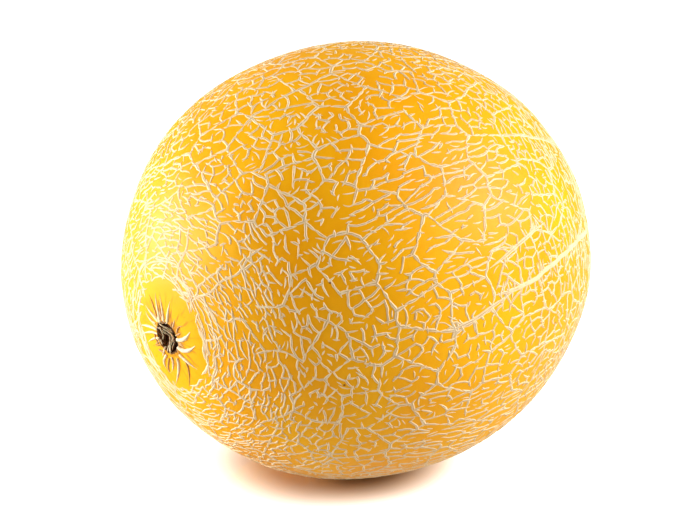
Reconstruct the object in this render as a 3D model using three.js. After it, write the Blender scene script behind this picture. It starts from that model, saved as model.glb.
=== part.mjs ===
// A netted melon lying on its side, as one solid, in millimetres with +Z up.
// The stem end points to -X. The rind is a web of cells: each cell's border is a raised cord of the
// net, and its floor is bare skin. The cells are the nearest-seed regions of seeds spread over a
// sphere of directions, which is then stretched to the melon's three half-sizes.
import * as THREE from "three";
import { ConvexHull } from "three/addons/math/ConvexHull.js";

// Driving dimensions of the rind, without the net
const HALF_LENGTH = 80;
const HALF_WIDTH = 73;
const HALF_HEIGHT = 73;
const MEAN_RADIUS = 75;
const FLAT_RADIUS = 13;
const SUTURES = 10;
const FIRST_SUTURE = 187;
const FLUTE_DEPTH = 0.3;
const LUMP_HEIGHT = 0.18;

// Raised net, larger than life so that it reads from a step away. Heights are [lowest, highest].
const NET_SEED = 20;
const CELL_SIZE = 10.6;
const CORD_HEIGHT = [0.9, 1.25];
const CORD_INSET = 1.4;
const CORD_DIP = [0.75, 1];
const CORD_BEND = 0.9;
const SUTURE_HEIGHT = [1.3, 1.4];
const SUTURE_INSET = 1.9;
const GAPS = { anywhere: 0.06, againstGrain: 0.3 };

// Stem end: a pit with a ragged rim, bare skin round it, and strands that radiate over that skin
const STEM_POLE = new THREE.Vector3(-0.964, -0.241, -0.11).normalize();
const STEM_SIDE = new THREE.Vector3().crossVectors(STEM_POLE, new THREE.Vector3(0, 0, 1)).normalize();
const STEM_UNDER = new THREE.Vector3().crossVectors(STEM_POLE, STEM_SIDE);
const STRANDS = 16;
const PIT_RADIUS = 5.6;
const PIT_DEPTH = 2.6;
const PIT_RIM_HEIGHT = [0.25, 0.85];
const PIT_ROUGHNESS = 0.7;
const BARE_RADIUS = 16.5;
const BARE_BORDER = { share: 0.6, height: 0.55 };
const STRAND_HEIGHT = [0.6, 1];
const DIMPLE_DEPTH = 1.1;
const DIMPLE_RADIUS = 14;

// Blossom end: a low corky button
const BUTTON_SEEDS = 9;
const BUTTON_RADIUS = 4.6;
const BUTTON_HEIGHT = 0.7;
const BUTTON_RIM_HEIGHT = [0.35, 0.65];
const BUTTON_ROUGHNESS = 0.35;

const TURN = Math.PI * 2;
const degrees = THREE.MathUtils.radToDeg;
const radians = THREE.MathUtils.degToRad;
const smooth = THREE.MathUtils.smoothstep;
const asAngle = (length) => length / MEAN_RADIUS;
const within = ([low, high], chance) => low + (high - low) * chance;

// A seeded source of random numbers from 0 to 1.
function randomSource(seed) {
  let state = seed >>> 0;
  return () => {
    state = (state + 0x6d2b79f5) >>> 0;
    let mixed = Math.imul(state ^ (state >>> 15), state | 1);
    mixed ^= mixed + Math.imul(mixed ^ (mixed >>> 7), mixed | 61);
    return ((mixed ^ (mixed >>> 14)) >>> 0) / 4294967296;
  };
}

// A random number from 0 to 1 that belongs to the border between two seeds.
const chanceOf = (i, j, salt) => randomSource(Math.min(i, j) * 4099 + Math.max(i, j) * 17 + salt)();

// The direction at an angle from the stem pole and a longitude about it, both in degrees.
function directionAt(colatitude, longitude) {
  const [c, l] = [radians(colatitude), radians(longitude)];
  const out = STEM_SIDE.clone().multiplyScalar(Math.cos(l)).addScaledVector(STEM_UNDER, Math.sin(l));
  return STEM_POLE.clone().multiplyScalar(Math.cos(c)).addScaledVector(out, Math.sin(c));
}

// The angle from the stem pole and the longitude of a direction, both in degrees.
function placeOf(n) {
  const colatitude = degrees(Math.acos(THREE.MathUtils.clamp(n.dot(STEM_POLE), -1, 1)));
  const longitude = degrees(Math.atan2(n.dot(STEM_UNDER), n.dot(STEM_SIDE)));
  return [colatitude, (longitude + 360) % 360];
}

// How the rind was stretched as it grew: along the melon over the middle, round it near both ends.
const STREAK_GRAIN = 0.35;
const END_GRAIN = 0.28;
const STREAKS = [
  { colatitude: 80, longitude: 215, reach: 24 },
  { colatitude: 80, longitude: 145, reach: 20 },
  { colatitude: 85, longitude: 60, reach: 28 },
  { colatitude: 95, longitude: 320, reach: 25 },
];

// The grain at a direction: above 1 the cells are long along the melon, below 1 round it.
function grainAt(n) {
  const [colatitude] = placeOf(n);
  const nearEnds = 1 - smooth(colatitude, 25, 62) + smooth(colatitude, 105, 130);
  const streak = STREAKS.reduce((most, { colatitude: c, longitude: l, reach }) => {
    const away = degrees(n.angleTo(directionAt(c, l)));
    return Math.max(most, 1 - smooth(away, reach * 0.5, reach * 1.3));
  }, 0);
  return 1 + STREAK_GRAIN * streak - END_GRAIN * nearEnds;
}

// The size of the cells at a direction, in millimetres: small at the stem, largest over the middle.
function cellSizeAt(n) {
  const [colatitude] = placeOf(n);
  return CELL_SIZE * (0.82 + 0.26 * smooth(colatitude, 20, 60) - 0.16 * smooth(colatitude, 95, 125));
}

// The direction in the surface at n that leads along the melon, towards the stem.
const lengthwiseAt = (n) => STEM_POLE.clone().addScaledVector(n, -n.dot(STEM_POLE)).normalize();

// Whether a new seed at n would be at least a cell away from every other, measured with the grain.
function hasRoom(n, seeds) {
  const lengthwise = lengthwiseAt(n);
  const grain = grainAt(n);
  const reach = asAngle(cellSizeAt(n));
  const step = new THREE.Vector3();
  return seeds.every((seed) => {
    step.subVectors(seed.n, n);
    const along = step.dot(lengthwise);
    const around = Math.sqrt(Math.max(0, step.lengthSq() - along * along));
    return Math.hypot(along / grain, around * grain) > reach;
  });
}

// Seeds of the cells, each with what it stands for
function ringSeeds(kind, count, colatitude) {
  return Array.from({ length: count }, (_, k) => ({ kind, n: directionAt(colatitude, (k * 360) / count) }));
}

function sutureSeeds(random) {
  const seeds = [];
  const step = degrees(asAngle(CELL_SIZE * 0.8));
  const gap = degrees(asAngle(CELL_SIZE * 0.42));
  for (let suture = 0; suture < SUTURES; suture++) {
    const longitude = FIRST_SUTURE + (suture * 360) / SUTURES + (random() - 0.5) * 5;
    const start = suture === 0 ? 90 : 96 + 18 * random();
    const end = 150 + 12 * random();
    for (let colatitude = start; colatitude < end; colatitude += step) {
      const sway = 1.2 * Math.sin(colatitude * 0.12 + suture) + (random() - 0.5) * 1.2;
      const place = colatitude + (random() - 0.5) * 2.5;
      for (const side of [-1, 1]) {
        const turned = (sway + side * gap) / Math.sin(radians(place));
        seeds.push({ kind: "suture", suture, side, n: directionAt(place + side * 0.4, longitude + turned) });
      }
    }
  }
  return seeds;
}

function skinSeeds(random, laid) {
  const seeds = [...laid];
  const tries = 16000;
  const bare = asAngle(BARE_RADIUS);
  for (let i = 0; i < tries; i++) {
    const z = 2 * random() - 1;
    const turn = TURN * random();
    const r = Math.sqrt(1 - z * z);
    const n = new THREE.Vector3(r * Math.cos(turn), r * Math.sin(turn), z);
    if (n.angleTo(STEM_POLE) < bare) continue;
    if (hasRoom(n, seeds)) seeds.push({ kind: "skin", n });
  }
  return seeds;
}

function allSeeds() {
  const random = randomSource(NET_SEED);
  const laid = [
    { kind: "pit", n: directionAt(0, 0) },
    ...ringSeeds("strand", STRANDS, degrees(asAngle(PIT_RADIUS * 2))),
    { kind: "button", n: directionAt(180, 0) },
    ...ringSeeds("scar", BUTTON_SEEDS, 180 - degrees(asAngle(BUTTON_RADIUS * 2))),
    ...sutureSeeds(random),
  ];
  return skinSeeds(random, laid);
}

// What the border between two cells is: its height over the skin and the inset of its feet.
function borderOf(seeds, i, j) {
  const [a, b] = [seeds[i], seeds[j]];
  const kinds = [a.kind, b.kind];
  const chance = chanceOf(i, j, 1);
  const cord = (height) => ({ height, inset: CORD_INSET });
  if (kinds.includes("pit")) return cord(within(PIT_RIM_HEIGHT, chance));
  if (kinds.includes("button")) return cord(within(BUTTON_RIM_HEIGHT, chance));
  if (a.kind === "strand" && b.kind === "strand") return cord(within(STRAND_HEIGHT, chance));
  if (kinds.includes("strand")) return cord(chance < BARE_BORDER.share ? BARE_BORDER.height : 0);
  if (a.kind === "suture" && b.kind === "suture" && a.suture === b.suture && a.side !== b.side) {
    return { height: within(SUTURE_HEIGHT, chance), inset: SUTURE_INSET };
  }
  const gap = b.n.clone().sub(a.n);
  const runsRound = gap.dot(lengthwiseAt(a.n)) ** 2 / gap.lengthSq();
  const againstGrain = grainAt(a.n) > 1 ? runsRound : 1 - runsRound;
  const strength = Math.min(1, Math.abs(grainAt(a.n) - 1) * 3);
  const missing = chance < GAPS.anywhere + GAPS.againstGrain * strength * againstGrain;
  return cord(missing ? 0 : within(CORD_HEIGHT, chanceOf(i, j, 2)));
}

// The rind's shape, without the net
function lumpsAt(n) {
  const [colatitude, longitude] = placeOf(n);
  const girth = Math.sin(radians(colatitude));
  const flutes = -FLUTE_DEPTH * Math.cos(SUTURES * radians(longitude - FIRST_SUTURE)) * girth * girth;
  const lumps = Math.sin(3.1 * n.x + 1.7) * Math.sin(3.7 * n.y + 0.4) + Math.sin(4.3 * n.z + 2.9 * n.x);
  const reach = (radians(colatitude) * MEAN_RADIUS) / DIMPLE_RADIUS;
  return flutes + LUMP_HEIGHT * lumps - DIMPLE_DEPTH * Math.exp(-reach * reach);
}

// The point of the rind in a direction, raised by a relief along the skin's normal.
function pointOn(n, relief) {
  const size = new THREE.Vector3(HALF_LENGTH, HALF_WIDTH, HALF_HEIGHT);
  const point = n.clone().multiply(size);
  const normal = n.clone().divide(size).normalize();
  return point.addScaledVector(normal, lumpsAt(n) + relief);
}

// The height at which the melon rests, so that its flat spot has the wanted radius.
const restHeight = -HALF_HEIGHT * Math.sqrt(1 - (FLAT_RADIUS / MEAN_RADIUS) ** 2);

// The web of cells, as one closed surface
class Web {
  constructor(seeds) {
    this.seeds = seeds;
    this.positions = [];
    this.triangles = [];
    this.corners = new Map();
    this.middles = new Map();
    this.borders = new Map();
  }

  vertex(n, relief) {
    const point = pointOn(n, relief);
    point.z = Math.max(point.z, restHeight);
    this.positions.push(point);
    return this.positions.length - 1;
  }

  border(i, j) {
    const key = Math.min(i, j) * this.seeds.length + Math.max(i, j);
    if (!this.borders.has(key)) this.borders.set(key, borderOf(this.seeds, i, j));
    return this.borders.get(key);
  }

  // The vertex where three cells meet, as high as the highest cord that reaches it.
  corner(face) {
    if (!this.corners.has(face)) {
      const [i, j, k] = face.seeds;
      const height = Math.max(this.border(i, j).height, this.border(j, k).height, this.border(k, i).height);
      this.corners.set(face, this.vertex(face.n, height));
    }
    return this.corners.get(face);
  }

  // The vertex halfway along a border, set a little to one side so that the cord bends.
  middle(i, j, from, to) {
    const key = Math.min(i, j) * this.seeds.length + Math.max(i, j);
    if (!this.middles.has(key)) {
      const [a, b] = [this.seeds[Math.min(i, j)].n, this.seeds[Math.max(i, j)].n];
      const across = b.clone().sub(a);
      const half = across.length() / 2;
      const slack = asAngle(CORD_INSET) * (half / from.n.distanceTo(a)) * CORD_BEND;
      const n = from.n.clone().add(to.n).normalize();
      n.addScaledVector(across.normalize(), slack * (chanceOf(i, j, 3) - 0.5)).normalize();
      const height = this.border(i, j).height * within(CORD_DIP, chanceOf(i, j, 4));
      this.middles.set(key, this.vertex(n, height));
    }
    return this.middles.get(key);
  }

  // The rim of a cell: corners and middles by turns, anticlockwise seen from outside.
  rim(cell) {
    const { index, faces, neighbours } = cell;
    return faces.flatMap((face, k) => {
      const next = faces[(k + 1) % faces.length];
      return [this.corner(face), this.middle(index, neighbours[k], face, next)];
    });
  }

  // A cell of bare skin, with cords that slope from its rim down to their feet.
  addSkin(cell) {
    const rim = this.rim(cell);
    const { index, faces, neighbours } = cell;
    const n = this.seeds[index].n;
    const feet = faces.map((face, k) => {
      const before = neighbours[(k + neighbours.length - 1) % neighbours.length];
      const inset = Math.max(this.border(index, neighbours[k]).inset, this.border(index, before).inset);
      const share = Math.min(0.45, asAngle(inset) / face.n.distanceTo(n));
      return this.vertex(face.n.clone().lerp(n, share).normalize(), 0);
    });
    const centre = this.vertex(n, 0);
    for (let k = 0; k < feet.length; k++) {
      const after = (k + 1) % feet.length;
      const [corner, middle, nextCorner] = [rim[2 * k], rim[2 * k + 1], rim[(2 * k + 2) % rim.length]];
      this.triangles.push(corner, middle, feet[k]);
      this.triangles.push(middle, feet[after], feet[k]);
      this.triangles.push(middle, nextCorner, feet[after]);
      this.triangles.push(feet[k], feet[after], centre);
    }
  }

  // A cell filled by rings that step in to its middle, each with its own relief.
  addRings(cell, steps, roughness) {
    const pole = this.seeds[cell.index].n;
    const outline = cell.faces.flatMap((face, k) => {
      const next = cell.faces[(k + 1) % cell.faces.length];
      return [face.n, face.n.clone().add(next.n).normalize()];
    });
    const random = randomSource(cell.index + 7);
    let outer = this.rim(cell);
    for (const { share, relief } of steps) {
      const inner = outline.map((n) => {
        const rough = (random() - 0.5) * roughness;
        return this.vertex(n.clone().lerp(pole, share).normalize(), relief + rough);
      });
      for (let k = 0; k < outer.length; k++) {
        const after = (k + 1) % outer.length;
        this.triangles.push(outer[k], outer[after], inner[k]);
        this.triangles.push(outer[after], inner[after], inner[k]);
      }
      outer = inner;
    }
    const centre = this.vertex(pole, steps.at(-1).relief + roughness * 0.5);
    outer.forEach((vertex, k) => this.triangles.push(vertex, outer[(k + 1) % outer.length], centre));
  }
}

// The corners of all cells: each triangle of the seeds' hull gives the point where three cells meet.
function cellCorners(seeds) {
  const points = seeds.map((seed) => seed.n);
  const indexOf = new Map(points.map((point, i) => [point, i]));
  return new ConvexHull().setFromPoints(points).faces.map((face) => {
    const edges = [face.edge, face.edge.next, face.edge.next.next];
    return { n: face.normal.clone().normalize(), seeds: edges.map((edge) => indexOf.get(edge.head().point)) };
  });
}

// Each seed's cell: its corners in turn, and the neighbour across each side.
function cellsOf(seeds, corners) {
  return seeds.map((seed, index) => {
    const east = new THREE.Vector3().crossVectors(seed.n, new THREE.Vector3(0.31, 0.17, 0.93)).normalize();
    const north = new THREE.Vector3().crossVectors(seed.n, east);
    const turnOf = (n) => Math.atan2(n.dot(north), n.dot(east));
    const faces = corners.filter((face) => face.seeds.includes(index));
    faces.sort((a, b) => turnOf(a.n) - turnOf(b.n));
    const neighbours = faces.map((face, k) => {
      const next = faces[(k + 1) % faces.length];
      return face.seeds.find((other) => other !== index && next.seeds.includes(other));
    });
    return { index, faces, neighbours };
  });
}

// Rings that step in from a rim: how far towards the middle, and how high over the skin
const PIT_STEPS = [
  { share: 0.22, relief: -0.9 },
  { share: 0.45, relief: -PIT_DEPTH },
  { share: 0.75, relief: -PIT_DEPTH * 0.8 },
];
const BUTTON_STEPS = [
  { share: 0.3, relief: BUTTON_HEIGHT },
  { share: 0.65, relief: BUTTON_HEIGHT * 0.8 },
];

function melonGeometry() {
  const seeds = allSeeds();
  const web = new Web(seeds);
  for (const cell of cellsOf(seeds, cellCorners(seeds))) {
    const { kind } = seeds[cell.index];
    if (kind === "pit") web.addRings(cell, PIT_STEPS, PIT_ROUGHNESS);
    else if (kind === "button") web.addRings(cell, BUTTON_STEPS, BUTTON_ROUGHNESS);
    else web.addSkin(cell);
  }
  const geometry = new THREE.BufferGeometry().setFromPoints(web.positions);
  geometry.setIndex(web.triangles);
  geometry.computeBoundingBox();
  const centre = geometry.boundingBox.getCenter(new THREE.Vector3());
  geometry.translate(-centre.x, -centre.y, -geometry.boundingBox.min.z);
  geometry.computeVertexNormals();
  return geometry;
}

const rind = new THREE.MeshStandardMaterial({ color: 0xe9a516, roughness: 0.42, metalness: 0 });
const melon = new THREE.Mesh(melonGeometry(), rind);
melon.name = "melon";

const part = new THREE.Group();
part.add(melon);
export default part;
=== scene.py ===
import logging
import math
from collections.abc import Iterator
from dataclasses import dataclass, field
from enum import Enum

import bmesh
import bpy
import numpy as np
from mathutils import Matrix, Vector
from mathutils.geometry import delaunay_2d_cdt
from mathutils.kdtree import KDTree


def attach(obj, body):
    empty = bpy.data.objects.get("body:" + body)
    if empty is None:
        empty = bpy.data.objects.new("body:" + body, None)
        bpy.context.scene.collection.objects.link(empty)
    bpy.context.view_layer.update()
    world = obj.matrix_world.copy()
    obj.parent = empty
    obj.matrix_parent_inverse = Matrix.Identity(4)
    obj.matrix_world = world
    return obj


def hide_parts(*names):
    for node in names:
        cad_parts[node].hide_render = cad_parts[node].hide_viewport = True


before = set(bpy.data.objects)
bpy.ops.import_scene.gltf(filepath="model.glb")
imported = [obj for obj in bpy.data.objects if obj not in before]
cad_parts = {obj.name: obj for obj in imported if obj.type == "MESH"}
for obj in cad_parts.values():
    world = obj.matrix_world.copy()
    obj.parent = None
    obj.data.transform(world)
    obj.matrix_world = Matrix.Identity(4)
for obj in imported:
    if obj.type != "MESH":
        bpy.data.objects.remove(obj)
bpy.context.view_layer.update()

Array = np.ndarray
Socket = bpy.types.NodeSocket
Material = bpy.types.Material
Mesh = bpy.types.Mesh
Pair = tuple[float, float]
Triple = tuple[float, float, float]
Colour = tuple[float, float, float, float]
Speck = tuple[float, float, float, float]

LOG = logging.getLogger("melon")
MM = 0.001
FULL_TURN = 2 * math.pi
NODE = "melon"
FAR = 50.0
HAIR = 1e-9
SHORTEST_LINE = 0.5


class RandomSource:
    """A seeded source of random numbers from 0 to 1."""

    WORD = 0xFFFFFFFF
    STEP = 0x6D2B79F5

    def __init__(self, seed: int) -> None:
        """Start the source at a seed."""
        self.state = seed & self.WORD

    def __call__(self) -> float:
        """Draw the next number.

        Returns:
            A number from 0 to 1.
        """
        word = self.WORD
        self.state = (self.state + self.STEP) & word
        state = self.state
        mixed = ((state ^ (state >> 15)) * (state | 1)) & word
        mixed ^= (mixed + (((mixed ^ (mixed >> 7)) * (mixed | 61)) & word)) & word
        return ((mixed ^ (mixed >> 14)) & word) / (word + 1)

    def between(self, low: float, high: float) -> float:
        """Return a number from low to high."""
        return low + (high - low) * self()


def chance_of(i: int, j: int, salt: int) -> float:
    """Return the random number that belongs to the border between two seeds."""
    return RandomSource(min(i, j) * 4099 + max(i, j) * 17 + salt)()


def unit(vectors: Array) -> Array:
    """Return vectors scaled to length 1 along the last axis."""
    return vectors / np.linalg.norm(vectors, axis=-1, keepdims=True)


def smooth(x: Array | float, low: float, high: float) -> Array | float:
    """Return a smooth step from 0 at low to 1 at high."""
    t = np.clip((x - low) / (high - low), 0, 1)
    return t * t * (3 - 2 * t)


def run_along(points: Array) -> Array:
    """Return the length along a path up to each of its points."""
    return np.concatenate([[0], np.cumsum(np.linalg.norm(np.diff(points, axis=0), axis=1))])


def points_along(points: Array, run: Array, s: Array) -> Array:
    """Return the points of a path at new lengths along it, given the length up to each of its own."""
    return np.stack([np.interp(s, run, axis) for axis in points.T], axis=1)


def bent_through(start: Array, middle: Array, end: Array, count: int) -> Array:
    """Return points on a bent line.

    Args:
        start: its first point.
        middle: the point that it passes half-way.
        end: its last point.
        count: how many points to return.

    Returns:
        The points, from start to end.
    """
    t = np.linspace(0, 1, count)[:, None]
    bend = 2 * middle - (start + end) / 2
    return (1 - t) ** 2 * start + 2 * t * (1 - t) * bend + t**2 * end


def bowed(start: Array, reach: Array, bow: Array, count: int) -> Array:
    """Return points on a line from start over its whole reach, which bows out most at its middle."""
    t = np.linspace(0, 1, count)[:, None]
    return start + reach * t + bow * 4 * t * (1 - t)


@dataclass
class Rind:
    """The melon's bare shape: an ellipsoid with flutes, low waves, a dimple and a flat spot."""

    half_sizes: Triple = (80, 73, 73)
    mean_radius: float = 75
    flat_radius: float = 13
    flat_clearance: float = 0.17
    sutures: int = 10
    first_suture: float = 187
    flute_depth: float = 0.3
    lump_height: float = 0.18
    lump_waves: tuple[Pair, ...] = ((3.1, 1.7), (3.7, 0.4), (4.3, 2.9))
    dimple_depth: float = 1.1
    dimple_radius: float = 14
    stem_direction: Triple = (-0.964, -0.241, -0.11)
    streaks: tuple[Triple, ...] = (
        (80, 215, 24), (80, 145, 20), (85, 60, 28), (95, 320, 25),
    )
    streak_fade: Pair = (0.5, 1.3)
    streak_grain: float = 0.35
    stem_fade: Pair = (25, 62)
    blossom_fade: Pair = (105, 130)
    end_grain: float = 0.28
    centre: Array = field(default_factory=lambda: np.zeros(3))

    def __post_init__(self) -> None:
        """Work out the axes about the stem pole and the height of the flat spot."""
        self.pole = unit(np.array(self.stem_direction))
        self.side = unit(np.cross(self.pole, [0, 0, 1]))
        self.under = np.cross(self.pole, self.side)
        self.rest_height = -self.half_sizes[2] * math.sqrt(1 - (self.flat_radius / self.mean_radius) ** 2)

    def direction_at(self, colatitude: Array | float, longitude: Array | float) -> Array:
        """Return directions from angles about the stem pole.

        Args:
            colatitude: degrees from the stem pole.
            longitude: degrees about it.

        Returns:
            Unit vectors, one for each pair of angles.
        """
        c = np.radians(np.asarray(colatitude, float))[..., None]
        turn = np.radians(np.asarray(longitude, float))[..., None]
        out = self.side * np.cos(turn) + self.under * np.sin(turn)
        return self.pole * np.cos(c) + out * np.sin(c)

    def place_of(self, n: Array) -> tuple[Array, Array]:
        """Return the angles about the stem pole of directions.

        Args:
            n: unit directions.

        Returns:
            Their degrees from the stem pole, and their longitudes.
        """
        colatitude = np.degrees(np.arccos(np.clip(n @ self.pole, -1, 1)))
        longitude = np.degrees(np.arctan2(n @ self.under, n @ self.side)) % 360
        return colatitude, longitude

    def lumps_at(self, n: Array) -> Array:
        """Return how far flutes, waves and dimple lift the skin off the ellipsoid.

        Args:
            n: unit directions.

        Returns:
            Heights in millimetres.
        """
        colatitude, longitude = self.place_of(n)
        girth = np.sin(np.radians(colatitude))
        turn = np.radians(longitude - self.first_suture)
        flutes = -self.flute_depth * np.cos(self.sutures * turn) * girth**2
        x, y, z = n[..., 0], n[..., 1], n[..., 2]
        (pace_x, start_x), (pace_y, start_y), (pace_z, slant) = self.lump_waves
        waves = np.sin(pace_x * x + start_x) * np.sin(pace_y * y + start_y) + np.sin(pace_z * z + slant * x)
        reach = np.radians(colatitude) * self.mean_radius / self.dimple_radius
        return flutes + self.lump_height * waves - self.dimple_depth * np.exp(-(reach**2))

    def normals_at(self, n: Array) -> Array:
        """Return the skin's outward normals in the given directions."""
        return unit(n / np.array(self.half_sizes))

    def points_at(self, n: Array, relief: Array | float = 0.0) -> Array:
        """Return points over the skin.

        Args:
            n: unit directions.
            relief: height over the bare skin in millimetres.

        Returns:
            Points in millimetres in the part's frame, kept so far off the floor that the net fits under them.
        """
        height = self.lumps_at(n) + relief
        points = n * np.array(self.half_sizes) + self.normals_at(n) * np.asarray(height)[..., None]
        points[..., 2] = np.maximum(points[..., 2], self.rest_height + self.flat_clearance)
        return points + self.centre

    def lengthwise_at(self, n: Array) -> Array:
        """Return the direction in the surface at n that leads towards the stem."""
        return unit(self.pole - n * (n @ self.pole))

    def grain_at(self, n: Array) -> float:
        """Return the grain of the net at a direction.

        Args:
            n: one unit direction.

        Returns:
            Above 1 where cells are long along the melon, below 1 where they are long round it.
        """
        colatitude, _ = self.place_of(n)
        near_ends = 1 - smooth(colatitude, *self.stem_fade) + smooth(colatitude, *self.blossom_fade)
        streak = 0.0
        for c, longitude, reach in self.streaks:
            towards = float(n @ self.direction_at(c, longitude))
            away = math.degrees(math.acos(max(-1, min(1, towards))))
            streak = max(streak, 1 - smooth(away, reach * self.streak_fade[0], reach * self.streak_fade[1]))
        return float(1 + self.streak_grain * streak - self.end_grain * near_ends)


class CellKind(Enum):
    """What the seed of a cell stands for."""

    PIT = "pit"
    STRAND = "strand"
    BUTTON = "button"
    SCAR = "scar"
    SUTURE = "suture"
    SKIN = "skin"


class CordLevel(Enum):
    """How heavy a cord is. The value is its usual width in millimetres."""

    SUTURE = 1.85
    BORDER = 1.22
    BRANCH = 0.95
    THREAD = 0.84


@dataclass
class Seed:
    """The seed of one cell of the net."""

    kind: CellKind
    n: Array
    suture: int = -1
    side: int = 0


@dataclass
class Cell:
    """One cell: its corners in turn, as face numbers, and the seed across each side."""

    index: int
    faces: list[int]
    neighbours: list[int]


@dataclass
class Cord:
    """One cord of the net, as unit directions along its middle with half-widths in millimetres."""

    level: CordLevel
    n: Array
    half_width: Array
    shade: float


@dataclass
class Web:
    """The coarse web of cells that the solid's raised net follows."""

    rind: Rind
    net_seed: int = 20
    cell_size: float = 10.6
    cell_shares: Triple = (0.82, 0.26, 0.16)
    strands: int = 16
    pit_radius: float = 5.6
    bare_radius: float = 16.5
    bare_share: float = 0.6
    button_seeds: int = 9
    button_radius: float = 4.6
    tries: int = 16000
    row_step: float = 0.8
    row_gap: float = 0.42
    cord_height: Pair = (0.9, 1.25)
    cord_inset: float = 1.4
    cord_bend: float = 0.9
    gaps_anywhere: float = 0.06
    gaps_against_grain: float = 0.3

    def __post_init__(self) -> None:
        """Lay out the seeds, their cells and the corners between them."""
        self.seeds = self.all_seeds()
        self.corners, self.triples = self.cell_corners()
        self.cells = self.all_cells()

    def as_degrees(self, length: float) -> float:
        """Return a length on the skin as an angle in degrees."""
        return math.degrees(length / self.rind.mean_radius)

    def cell_size_at(self, n: Array) -> float:
        """Return the size of the cells at a direction.

        Args:
            n: one unit direction.

        Returns:
            The size in millimetres.
        """
        colatitude, _ = self.rind.place_of(n)
        stem, wider, finer = self.cell_shares
        away, beyond = smooth(colatitude, 20, 60), smooth(colatitude, 95, 125)
        return self.cell_size * (stem + wider * away - finer * beyond)

    def ring_seeds(self, kind: CellKind, count: int, colatitude: float) -> list[Seed]:
        """Return seeds evenly spaced round the stem axis."""
        return [Seed(kind, self.rind.direction_at(colatitude, k * 360 / count)) for k in range(count)]

    def suture_seeds(self, random: RandomSource) -> list[Seed]:
        """Lay the paired rows of seeds whose shared borders are the sutures.

        Args:
            random: the web's source of random numbers.

        Returns:
            The seeds, suture by suture.
        """
        seeds = []
        step = self.as_degrees(self.cell_size * self.row_step)
        gap = self.as_degrees(self.cell_size * self.row_gap)
        for suture in range(self.rind.sutures):
            longitude = self.rind.first_suture + suture * 360 / self.rind.sutures + (random() - 0.5) * 5
            colatitude = 90 if suture == 0 else 96 + 18 * random()
            end = 150 + 12 * random()
            while colatitude < end:
                sway = 1.2 * math.sin(colatitude * 0.12 + suture) + (random() - 0.5) * 1.2
                place = colatitude + (random() - 0.5) * 2.5
                for side in (-1, 1):
                    turned = (sway + side * gap) / math.sin(math.radians(place))
                    n = self.rind.direction_at(place + side * 0.4, longitude + turned)
                    seeds.append(Seed(CellKind.SUTURE, n, suture, side))
                colatitude += step
        return seeds

    def has_room(self, n: Array, laid: Array) -> bool:
        """Say whether a new seed would be at least a cell away from every laid one.

        Args:
            n: the new seed's direction.
            laid: the directions of the laid seeds.

        Returns:
            Whether there is room.
        """
        lengthwise = self.rind.lengthwise_at(n)
        grain = self.rind.grain_at(n)
        reach = self.cell_size_at(n) / self.rind.mean_radius
        step = laid - n
        along = step @ lengthwise
        around = np.sqrt(np.maximum(0, (step * step).sum(1) - along * along))
        return bool(np.all(np.hypot(along / grain, around * grain) > reach))

    def all_seeds(self) -> list[Seed]:
        """Lay every seed.

        Returns:
            The seeds: stem end, blossom end, sutures, and then the skin wherever there is room.
        """
        random = RandomSource(self.net_seed)
        seeds = [
            Seed(CellKind.PIT, self.rind.direction_at(0, 0)),
            *self.ring_seeds(CellKind.STRAND, self.strands, self.as_degrees(self.pit_radius * 2)),
            Seed(CellKind.BUTTON, self.rind.direction_at(180, 0)),
            *self.ring_seeds(CellKind.SCAR, self.button_seeds, 180 - self.as_degrees(self.button_radius * 2)),
            *self.suture_seeds(random),
        ]
        laid = np.array([seed.n for seed in seeds])
        bare = math.cos(self.bare_radius / self.rind.mean_radius)
        for _ in range(self.tries):
            z = 2 * random() - 1
            turn = FULL_TURN * random()
            r = math.sqrt(1 - z * z)
            n = np.array([r * math.cos(turn), r * math.sin(turn), z])
            if n @ self.rind.pole <= bare and self.has_room(n, laid):
                seeds.append(Seed(CellKind.SKIN, n))
                laid = np.vstack([laid, n])
        return seeds

    def cell_corners(self) -> tuple[Array, list[tuple[int, int, int]]]:
        """Find where cells meet.

        Seen from the first seed every other seed lies on a flat sheet, and the flat triangles between
        them are the triangles between seeds on the sphere.

        Returns:
            The points where three cells meet, and the three seeds of each, anticlockwise.
        """
        points = np.array([seed.n for seed in self.seeds])
        rest = points[1:]
        spread = 1 / (1 - rest @ points[0])
        across, down = rest @ self.rind.side * spread, rest @ self.rind.under * spread
        sheet = [Vector(pair) for pair in zip(across, down)]
        _, _, faces, origins, *_ = delaunay_2d_cdt(sheet, [], [], 0, 1e-7)
        triples = [tuple(origins[corner][0] + 1 for corner in face) for face in faces]
        sides = [(face[k], face[(k + 1) % 3]) for face in triples for k in range(3)]
        lone = set(sides) - {(b, a) for a, b in sides}
        triples += [(0, b, a) for a, b in lone]
        a, b, c = (points[[triple[k] for triple in triples]] for k in range(3))
        corners = unit(np.cross(b - a, c - a))
        outward = (corners * a).sum(1) > 0
        triples = [(i, j, k) if out else (i, k, j) for (i, j, k), out in zip(triples, outward)]
        corners[~outward] *= -1
        return corners, triples

    def all_cells(self) -> list[Cell]:
        """Walk round each seed from corner to corner.

        Returns:
            Each seed's cell, anticlockwise seen from outside.
        """
        after: list[dict[int, tuple[int, int]]] = [{} for _ in self.seeds]
        for face, (i, j, k) in enumerate(self.triples):
            after[i][j] = (face, k)
            after[j][k] = (face, i)
            after[k][i] = (face, j)
        cells = []
        for index, steps in enumerate(after):
            faces, neighbours = [], []
            here = min(steps)
            for _ in steps:
                face, here = steps[here]
                faces.append(face)
                neighbours.append(here)
            cells.append(Cell(index, faces, neighbours))
        return cells

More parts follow.
